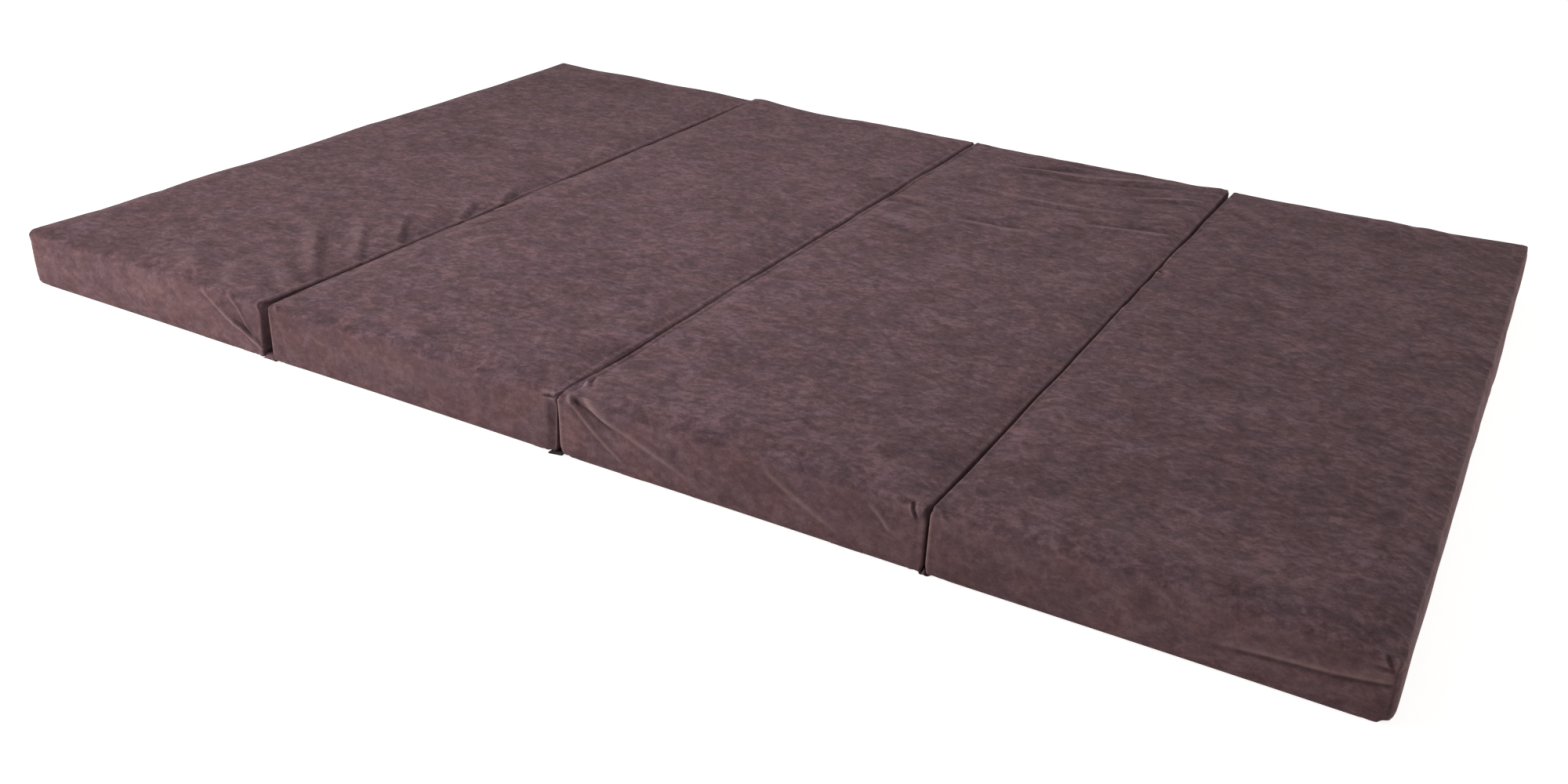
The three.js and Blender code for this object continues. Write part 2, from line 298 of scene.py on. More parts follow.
@dataclass(frozen=True)
class Weave(Finish):
    """Plain woven polyester: threads over and under each other, matt, each with a pale middle.

    The threads are drawn about three times as coarse as real ones, so that the weave shows.

    Attributes:
        pitch: from one thread to the next, in millimetres.
        relief: how high the threads stand, in millimetres.
        wear: the grain of the worn patches, in millimetres.
        wear_share: how much the worn patches count against the threads.
    """

    valley: str = "43363a"
    thread: str = "67565a"
    pitch: float = 1.6
    relief: float = 0.25
    wear: float = 60.0
    wear_share: float = 0.45

    def shader(self, tree: bpy.types.NodeTree, place: bpy.types.NodeSocket) -> bpy.types.Node:
        """Adds the weave's nodes."""
        space = add_node(tree, "Mapping", self.grain(self.pitch), {"Vector": place})
        # At this scale a Wave texture has one band to a unit.
        one_band = math.pi / 10
        warp, weft = (
            add_node(tree, "TexWave", {
                "bands_direction": direction, "Scale": one_band, "Distortion": 0.4, "Detail": 1.0,
            }, {"Vector": space}).outputs["Fac"]
            for direction in ("X", "Y")
        )
        threads = add_node(tree, "Math", {"operation": "MAXIMUM"}, {0: warp, 1: weft})
        worn_space = add_node(tree, "Mapping", self.grain(self.wear), {"Vector": place})
        worn = add_node(tree, "TexNoise", {"Scale": 1.0, "Detail": 3.0}, {"Vector": worn_space})
        tone = add_node(tree, "Mix", {"data_type": "FLOAT", "Factor": self.wear_share},
                        {2: threads, 3: worn.outputs["Fac"]})
        colour = self.stops(add_node(tree, "ValToRGB", {}, {"Fac": tone}),
                            ((0.3, self.valley), (0.75, self.thread)))
        dullness = add_node(tree, "MapRange", {
            "From Min": 0.3, "From Max": 0.8, "To Min": 0.95, "To Max": 0.8,
        }, {"Value": tone})
        relief = add_node(tree, "Bump", {"Strength": 1.0, "Distance": self.relief * MM},
                          {"Height": threads})
        return add_node(tree, "BsdfPrincipled", {"Specular IOR Level": 0.25, "Sheen Weight": 0.1},
                        {"Base Color": colour, "Roughness": dullness, "Normal": relief})


@dataclass(frozen=True)
class CutFoam(Finish):
    """Open-cell polyurethane foam, cut from the block: cream, matt, pitted all over with small pores.

    Attributes:
        pore_size: from one pore to the next, in millimetres.
        relief: how deep the pores are, in millimetres.
    """

    name: str = "cut polyurethane foam"
    pore: str = "c9bd9c"
    wall: str = "efe8d2"
    pore_size: float = 2.2
    relief: float = 0.4

    def shader(self, tree: bpy.types.NodeTree, place: bpy.types.NodeSocket) -> bpy.types.Node:
        """Adds the foam's nodes."""
        space = add_node(tree, "Mapping", self.grain(self.pore_size), {"Vector": place})
        pores = add_node(tree, "TexVoronoi", {"Scale": 1.0}, {"Vector": space})
        colour = self.stops(add_node(tree, "ValToRGB", {}, {"Fac": pores.outputs["Distance"]}),
                            ((0.1, self.pore), (0.6, self.wall)))
        dullness = add_node(tree, "MapRange", {"To Min": 1.0, "To Max": 0.85},
                            {"Value": pores.outputs["Distance"]})
        relief = add_node(tree, "Bump", {"Strength": 1.0, "Distance": self.relief * MM},
                          {"Height": pores.outputs["Distance"]})
        return add_node(tree, "BsdfPrincipled", {"Specular IOR Level": 0.2},
                        {"Base Color": colour, "Roughness": dullness, "Normal": relief})


@dataclass(frozen=True)
class Handled(Finish):
    """A smooth finish with fine handling marks: drawn nylon, spun thread or lacquered metal.

    Attributes:
        roughness: its mean.
        roughness_spread: how far the marks change it, up and down.
        mark: the grain of the marks, in millimetres.
        relief: how deep the marks are, in millimetres.
    """

    dark: str = "3b3032"
    light: str = "4d4043"
    roughness: float = 0.4
    roughness_spread: float = 0.08
    metallic: float = 0.0
    mark: float = 4.0
    relief: float = 0.03

    def shader(self, tree: bpy.types.NodeTree, place: bpy.types.NodeSocket) -> bpy.types.Node:
        """Adds the finish's nodes."""
        space = add_node(tree, "Mapping", self.grain(self.mark), {"Vector": place})
        marks = add_node(tree, "TexNoise", {"Scale": 1.0, "Detail": 4.0}, {"Vector": space}).outputs["Fac"]
        colour = self.stops(add_node(tree, "ValToRGB", {}, {"Fac": marks}),
                            ((0.35, self.dark), (0.65, self.light)))
        dullness = add_node(tree, "MapRange", {
            "From Min": 0.3, "From Max": 0.7,
            "To Min": self.roughness - self.roughness_spread,
            "To Max": self.roughness + self.roughness_spread,
        }, {"Value": marks})
        relief = add_node(tree, "Bump", {"Strength": 1.0, "Distance": self.relief * MM}, {"Height": marks})
        return add_node(tree, "BsdfPrincipled", {"Metallic": self.metallic},
                        {"Base Color": colour, "Roughness": dullness, "Normal": relief})


@dataclass(frozen=True)
class Finishes:
    """Every finish on the bed, each made once."""

    velour: bpy.types.Material
    base_cloth: bpy.types.Material
    lining: bpy.types.Material
    zip_tape: bpy.types.Material
    foam: bpy.types.Material
    nylon: bpy.types.Material
    thread: bpy.types.Material
    metal: bpy.types.Material

    @classmethod
    def mixed(cls) -> "Finishes":
        """Makes them."""
        return cls(
            velour=Velour().material(),
            base_cloth=Weave("plain woven base cloth").material(),
            # Near black: partly the lining's own colour, partly painted shadow at the foot of fold 2.
            lining=Weave(
                "black woven lining and painted shadow", valley="121012", thread="2a2628", pitch=1.0, relief=0.15,
            ).material(),
            zip_tape=Weave(
                "woven zip tape", valley="3a2f31", thread="5c4c4e", pitch=0.9, relief=0.15,
            ).material(),
            foam=CutFoam().material(),
            nylon=Handled("drawn nylon coil").material(),
            thread=Handled(
                "spun polyester thread", dark="4a3b3e", light="6d5a5d", roughness=0.6, mark=1.5,
            ).material(),
            metal=Handled(
                "lacquered zinc casting", dark="524947", light="655b58", roughness=0.38, metallic=0.9,
            ).material(),
        )


# Mesh work


def pick(obj: bpy.types.Object, *others: bpy.types.Object) -> None:
    """Selects just these objects and makes the first one active."""
    bpy.ops.object.select_all(action="DESELECT")
    for each in (obj, *others):
        each.select_set(True)
    bpy.context.view_layer.objects.active = obj


def just_made(name: str, size: Sequence[float] = (1, 1, 1)) -> bpy.types.Object:
    """Names the object that an operator has just added, and moves its size and place into its mesh.

    Args:
        name: the object's name.
        size: how much it is stretched along its own axes.

    Returns:
        The object.
    """
    obj = bpy.context.active_object
    obj.name = name
    obj.data.name = name
    obj.scale = size
    pick(obj)
    bpy.ops.object.transform_apply(location=True, rotation=True, scale=True)
    return obj


def finished(obj: bpy.types.Object, kind: str, **settings: object) -> None:
    """Adds one modifier and applies it.

    Args:
        obj: the mesh object.
        kind: the modifier's type.
        settings: the modifier's settings.
    """
    modifier = obj.modifiers.new(kind.title(), kind)
    for key, value in settings.items():
        setattr(modifier, key, value)
    pick(obj)
    bpy.ops.object.modifier_apply(modifier=modifier.name)


def points_of(obj: bpy.types.Object) -> Points:
    """Reads the vertices of a mesh as rows of X, Y and Z."""
    flat = np.empty(len(obj.data.vertices) * 3)
    obj.data.vertices.foreach_get("co", flat)
    return flat.reshape(-1, 3)


def normals_of(obj: bpy.types.Object) -> Points:
    """Reads the vertex normals of a mesh as rows of X, Y and Z."""
    flat = np.empty(len(obj.data.vertices) * 3)
    obj.data.vertices.foreach_get("normal", flat)
    return flat.reshape(-1, 3)


def move_points(obj: bpy.types.Object, points: Points) -> None:
    """Writes the vertices of a mesh."""
    obj.data.vertices.foreach_set("co", points.ravel())
    obj.data.update()


def face_places(obj: bpy.types.Object) -> tuple[Points, Points]:
    """Reads the centre and the normal of each face of a mesh."""
    count = len(obj.data.polygons)
    centres = np.empty(count * 3)
    normals = np.empty(count * 3)
    obj.data.polygons.foreach_get("center", centres)
    obj.data.polygons.foreach_get("normal", normals)
    return centres.reshape(-1, 3), normals.reshape(-1, 3)


def edit_faces(obj: bpy.types.Object, chosen: np.ndarray, work: Callable[[], object]) -> None:
    """Runs edit-mode operators on some faces of a mesh.

    Args:
        obj: the mesh object.
        chosen: whether each face is selected.
        work: calls the operators.
    """
    mesh = obj.data
    pick(obj)
    mesh.vertices.foreach_set("select", np.zeros(len(mesh.vertices), bool))
    mesh.edges.foreach_set("select", np.zeros(len(mesh.edges), bool))
    mesh.polygons.foreach_set("select", chosen)
    bpy.context.tool_settings.mesh_select_mode = (False, False, True)
    bpy.ops.object.mode_set(mode="EDIT")
    work()
    bpy.ops.object.mode_set(mode="OBJECT")


def score_faces(
    obj: bpy.types.Object,
    chosen: Callable[[Points, Points], np.ndarray],
    lines: Iterable[tuple[Vector, Vector]],
) -> None:
    """Cuts the chosen faces of a mesh along flat planes, so that a straight edge can run there.

    Args:
        obj: the mesh object.
        chosen: tells from the centres and normals which faces are cut.
        lines: a place and a normal for each plane.
    """
    for place, normal in lines:
        edit_faces(obj, chosen(*face_places(obj)), lambda: bpy.ops.mesh.bisect(
            plane_co=place, plane_no=normal,
        ))


def planes_across(axis: int, *places: float) -> list[tuple[Vector, Vector]]:
    """Gives flat planes square to one axis, at these places along it: a point and a normal for each."""
    normal = Vector((0, 0, 0))
    normal[axis] = 1
    return [(normal * place, normal) for place in places]


def shade_smooth(obj: bpy.types.Object, sharp_edges: bool = False) -> None:
    """Shades a mesh smooth, all over or apart from its sharp edges."""
    pick(obj)
    if sharp_edges:
        bpy.ops.object.shade_smooth_by_angle(angle=math.radians(SHARP_ANGLE))
    else:
        bpy.ops.object.shade_smooth()


def joined(name: str, pieces: Sequence[bpy.types.Object]) -> bpy.types.Object:
    """Joins meshes into one object."""
    pick(*pieces)
    bpy.ops.object.join()
    return just_made(name)


def rolling_rows(piece: bpy.types.Object, step: Vector, count: int) -> None:
    """Repeats a small piece along a straight line.

    Args:
        piece: the first one, in its place.
        step: the way from one to the next.
        count: how many there are.
    """
    finished(piece, "ARRAY", count=count, use_relative_offset=False, use_constant_offset=True,
             constant_offset_displace=step)


def smooth_step(value: np.ndarray) -> np.ndarray:
    """Eases a share from 0 to 1."""
    share = np.clip(value, 0, 1)
    return share * share * (3 - 2 * share)


def bell(value: np.ndarray, centre: float = 0.0, spread: float = 1.0) -> np.ndarray:
    """A rounded bump: 1 at its centre, and down to about a third at one spread away."""
    return np.exp(-((value - centre) / spread) ** 2)


def drift(points: Points, wavelength: float, seed: int) -> np.ndarray:
    """A smooth wandering value at each point, about -1 to 1: a few plane waves in seeded directions.

    Args:
        points: rows of X, Y and Z, in millimetres.
        wavelength: the mean distance between two swells, in millimetres.
        seed: which pattern.

    Returns:
        One value for each point.
    """
    wave_count = 14
    shortest, longest = 0.7, 1.5
    generator = np.random.default_rng(seed)
    directions = generator.normal(size=(wave_count, 3))
    directions /= np.linalg.norm(directions, axis=1, keepdims=True)
    lengths = wavelength * generator.uniform(shortest, longest, wave_count)
    phases = generator.uniform(0, 2 * math.pi, wave_count)
    total = np.zeros(len(points))
    for direction, length, phase in zip(directions, lengths, phases):
        total += np.sin(points @ direction * (2 * math.pi / length) + phase)
    return total / math.sqrt(wave_count)


def tightened(across: np.ndarray, up: np.ndarray, radius: "Tightness") -> tuple[np.ndarray, np.ndarray]:
    """Turns a slack rounding between two faces into a crisper one.

    Args:
        across: how far each point lies beyond the first face, in millimetres; negative inside.
        up: the same for the second face.
        radius: the rounding that is there and the one that is wanted.

    Returns:
        How far each point moves out of the first face and out of the second.
    """
    first = across + radius.region
    second = up + radius.region
    inside = (first > 0) & (second > 0)
    angle = np.arctan2(np.where(inside, second, 0), np.where(inside, first, 1))
    scale = np.where(inside, radius.outline(angle, radius.wanted) / radius.outline(angle, radius.slack), 1)
    return first * (scale - 1), second * (scale - 1)


@dataclass(frozen=True)
class Tightness:
    """How crisp one kind of edge is, in millimetres.

    Attributes:
        slack: the radius that the filled block has there.
        wanted: the radius of the finished cover.
        region: how far from the edge the change reaches, at least the slack radius.
    """

    slack: float
    wanted: float
    region: float

    def outline(self, angle: np.ndarray, radius: float) -> np.ndarray:
        """The distance from the centre of the region to a rounded square corner, at each angle."""
        straight = self.region - radius
        cosine = np.cos(angle)
        sine = np.sin(angle)
        flat = self.region / np.maximum(cosine, sine)
        reach = straight * (cosine + sine)
        arc = reach + np.sqrt(np.maximum(radius ** 2 - straight ** 2 * (cosine - sine) ** 2, 0))
        on_flat = np.minimum(cosine, sine) * self.region <= straight * np.maximum(cosine, sine)
        return np.where(on_flat, flat, arc)


# How a cover is creased


class Side(Enum):
    """The side of a panel that a wrinkle lies on: the two axes that its path is written in, and a normal."""

    TOP = ((0, 1), (0, 0, 1))
    NEAR = ((0, 2), (0, -1, 0))

    @property
    def axes(self) -> tuple[int, int]:
        """The columns of the points that a path on this side is written in."""
        return self.value[0]

    @property
    def outward(self) -> tuple[int, int, int]:
        """The direction that this side faces."""
        return self.value[1]


class Form(Enum):
    """The section of a wrinkle."""

    RIDGE = "a narrow crest with a shallow valley on each side"
    LAP = "a crest that drops steeply into a valley on its right"
    TUCK = "a narrow groove between two soft lips"
    SWELL = "a soft broad rise"

    def section(self, across: np.ndarray) -> np.ndarray:
        """The height of the wrinkle, as a share of its full height.

        Args:
            across: distances from its line, to the left, in its own half widths.

        Returns:
            The height at each distance.
        """
        away = np.abs(across)
        if self is Form.RIDGE:
            return np.exp(-away ** 1.5) - 0.35 * bell(away, 2.2)
        if self is Form.LAP:
            crest = np.where(across > 0, np.exp(-(away / 2.2) ** 1.6), bell(away, spread=0.8))
            return crest - 0.7 * bell(across, -1.7, 0.9)
        if self is Form.TUCK:
            return 0.35 * bell(away, 2.0, 0.9) - bell(away)
        return bell(away)

    def pile(self, across: np.ndarray) -> np.ndarray:
        """How much painted light the wrinkle gets at the same distances: a highlight where positive, shade
        where negative.
        """
        away = np.abs(across)
        if self is Form.RIDGE:
            return 0.42 * bell(away, spread=0.9) - 0.2 * bell(away, 2.1)
        if self is Form.LAP:
            crest = 0.42 * bell(across, spread=0.8) + 0.1 * bell(across, 1.6, 1.4)
            return crest - 0.6 * bell(across, -1.7, 0.8)
        if self is Form.TUCK:
            return 0.25 * bell(away, 1.9, 0.7) - 0.75 * bell(away)
        return 0.42 * bell(away)


@dataclass(frozen=True)
class Crease:
    """A wrinkle in a cover.

    Attributes:
        side: the side of the panel that it lies on.
        form: its section.
        path: its line, in millimetres from the panel's middle line and its near end (on the top), or from
            the middle line and the floor (on the near end).
        height: its full height, in millimetres; a swell may be negative.
        width: its half width, in millimetres.
        fades: the shares of its length over which it rises at the start and dies away at the end.

    The same for all creases:
        steps_per_leg: how many straight pieces its line has between two points of its path.
        reach: how many half widths away it has died out.
        fine_reach: how many half widths away the mesh still has to be finer for it.
        turned_away: how fast it dies out where the cover turns away from its side.
        full_tone: the height, in millimetres, from which its painted highlight or painted shade is full.
        broad_tone: how much of that painted highlight a broad rise gets.
    """

    side: Side
    form: Form
    path: Path
    height: float
    width: float
    fades: Fades = (0.3, 0.3)

    steps_per_leg = 8
    reach = 5.0
    fine_reach = 3
    turned_away = 2.5
    full_tone = 2.2
    broad_tone = 0.4

    def line(self) -> Points:
        """Rounds the path into a smooth line through its points."""
        legs = [np.array(point, float) for point in self.path]
        legs = [2 * legs[0] - legs[1], *legs, 2 * legs[-1] - legs[-2]]
        line = []
        for a, b, c, d in zip(legs, legs[1:], legs[2:], legs[3:]):
            for step in range(self.steps_per_leg):
                t = step / self.steps_per_leg
                line.append(0.5 * (2 * b + (c - a) * t + (2 * a - 5 * b + 4 * c - d) * t * t
                                   + (3 * b - a - 3 * c + d) * t ** 3))
        line.append(legs[-2])
        return np.array(line)

    def measure(self, flat: Points) -> tuple[np.ndarray, np.ndarray]:
        """Measures where points lie beside the line and along it.

        Args:
            flat: the points, in the two axes of the crease's side.

        Returns:
            The distance to the left of the line, and the share of its length passed, at each point.
        """
        line = self.line()
        spans = np.linalg.norm(np.diff(line, axis=0), axis=1)
        passed = np.concatenate(([0.0], np.cumsum(spans)))
        best = np.full(len(flat), np.inf)
        across = np.zeros(len(flat))
        along = np.zeros(len(flat))
        for start, end, span, before in zip(line, line[1:], spans, passed):
            way = (end - start) / span
            offset = flat - start
            run = np.clip(offset @ way, 0, span)
            gap = offset - run[:, None] * way
            distance = np.linalg.norm(gap, axis=1)
            nearer = distance < best
            best = np.where(nearer, distance, best)
            left = np.sign(way[0] * gap[:, 1] - way[1] * gap[:, 0])
            across = np.where(nearer, left * distance, across)
            along = np.where(nearer, before + run, along)
        return across, along / passed[-1]

    def near(self, points: Points, margin: float) -> np.ndarray:
        """Whether each point lies close enough for the crease to need a finer mesh there."""
        flat = points[:, self.side.axes]
        across, _ = self.measure(flat)
        return np.abs(across) < self.width * self.fine_reach + margin

    def shape(self, points: Points, facing: np.ndarray) -> tuple[np.ndarray, np.ndarray]:
        """Works out where the crease lifts the cover and where it gets painted light.

        Args:
            points: rows of places on the panel, in millimetres.
            facing: the share of each point's normal that faces out of the crease's side.

        Returns:
            The lift along the normal in millimetres, and the painted light from -1 to 1: a highlight on the
            crest, shade in the valley.
        """
        lift = np.zeros(len(points))
        pile = np.zeros(len(points))
        flat = points[:, self.side.axes]
        reach = self.width * self.reach
        low = np.min(self.path, axis=0) - reach
        high = np.max(self.path, axis=0) + reach
        close = np.all((flat > low) & (flat < high), axis=1) & (facing > 0)
        if not close.any():
            return lift, pile
        across, along = self.measure(flat[close])
        start, end = self.fades
        fade = smooth_step(along / start) if start else np.ones(len(along))
        if end:
            fade = fade * smooth_step((1 - along) / end)
        fade = fade * smooth_step(facing[close] * self.turned_away)
        lift[close] = self.height * self.form.section(across / self.width) * fade
        tone = np.clip(self.height / self.full_tone, -1, 1)
        if self.form is Form.SWELL and self.height > 0:
            tone *= self.broad_tone
        pile[close] = tone * self.form.pile(across / self.width) * fade
        return lift, pile


@dataclass(frozen=True)
class Lift:
    """A place where the whole edge of a panel stands higher or sags lower than the rest.

    Attributes:
        place: in millimetres from the panel's middle line and its near end.
        height: how much higher its top is, in millimetres.
        reach: how far the change spreads, in millimetres.
    """

    place: tuple[float, float]
    height: float
    reach: float

    def raised(self, points: Points, full_height: float) -> Points:
        """Stretches a panel's heights near the place."""
        away = np.linalg.norm(points[:, :2] - np.array(self.place), axis=1) / self.reach
        result = points.copy()
        result[:, 2] += self.height * bell(away) * np.clip(points[:, 2] / full_height, 0, 1)
        return result


@dataclass(frozen=True)
class Dent:
    """A corner that the stretched cover draws in.

    Attributes:
        place: the corner, in millimetres from the panel's middle line, its near end and the floor.
        move: how far the corner itself is drawn, in millimetres.
        reach: how far the change spreads, in millimetres.
    """

    place: tuple[float, float, float]
    move: tuple[float, float, float]
    reach: float

    def drawn(self, points: Points) -> Points:
        """Draws the points near the corner in."""
        away = np.linalg.norm(points - np.array(self.place), axis=1) / self.reach
        return points + bell(away)[:, None] * np.array(self.move)


@dataclass(frozen=True)
class Closing:
    """How far apart the two covers of a fold stand along it, at half width each.

    Attributes:
        places: distances from the near end, in millimetres.
        top: the distance of a cover from the middle of the fold near its top edge, in millimetres.
        foot: the same near the floor.
    """

    places: tuple[float, ...] = (0.0, 1350.0)
    top: tuple[float, ...] = (1.0, 1.0)
    foot: tuple[float, ...] = (1.5, 1.5)

    def distance(self, points: Points, full_height: float) -> np.ndarray:
        """The cover's distance from the middle of the fold at each point."""
        top = np.interp(points[:, 1], self.places, self.top)
        foot = np.interp(points[:, 1], self.places, self.foot)
        return foot + (top - foot) * np.clip(points[:, 2] / full_height, 0, 1)


def ridge(side: Side, path: Path, height: float, width: float, fades: Fades = (0.3, 0.3)) -> Crease:
    """A narrow crest."""
    return Crease(side, Form.RIDGE, path, height, width, fades)


def lap(side: Side, path: Path, height: float, width: float, fades: Fades = (0.3, 0.3)) -> Crease:
    """A crest with a steep right side."""
    return Crease(side, Form.LAP, path, height, width, fades)


def tuck(side: Side, path: Path, height: float, width: float, fades: Fades = (0.3, 0.3)) -> Crease:
    """A narrow groove."""
    return Crease(side, Form.TUCK, path, height, width, fades)


def swell(side: Side, path: Path, height: float, width: float, fades: Fades = (0.3, 0.3)) -> Crease:
    """A broad rise, or a hollow where its height is negative."""
    return Crease(side, Form.SWELL, path, height, width, fades)


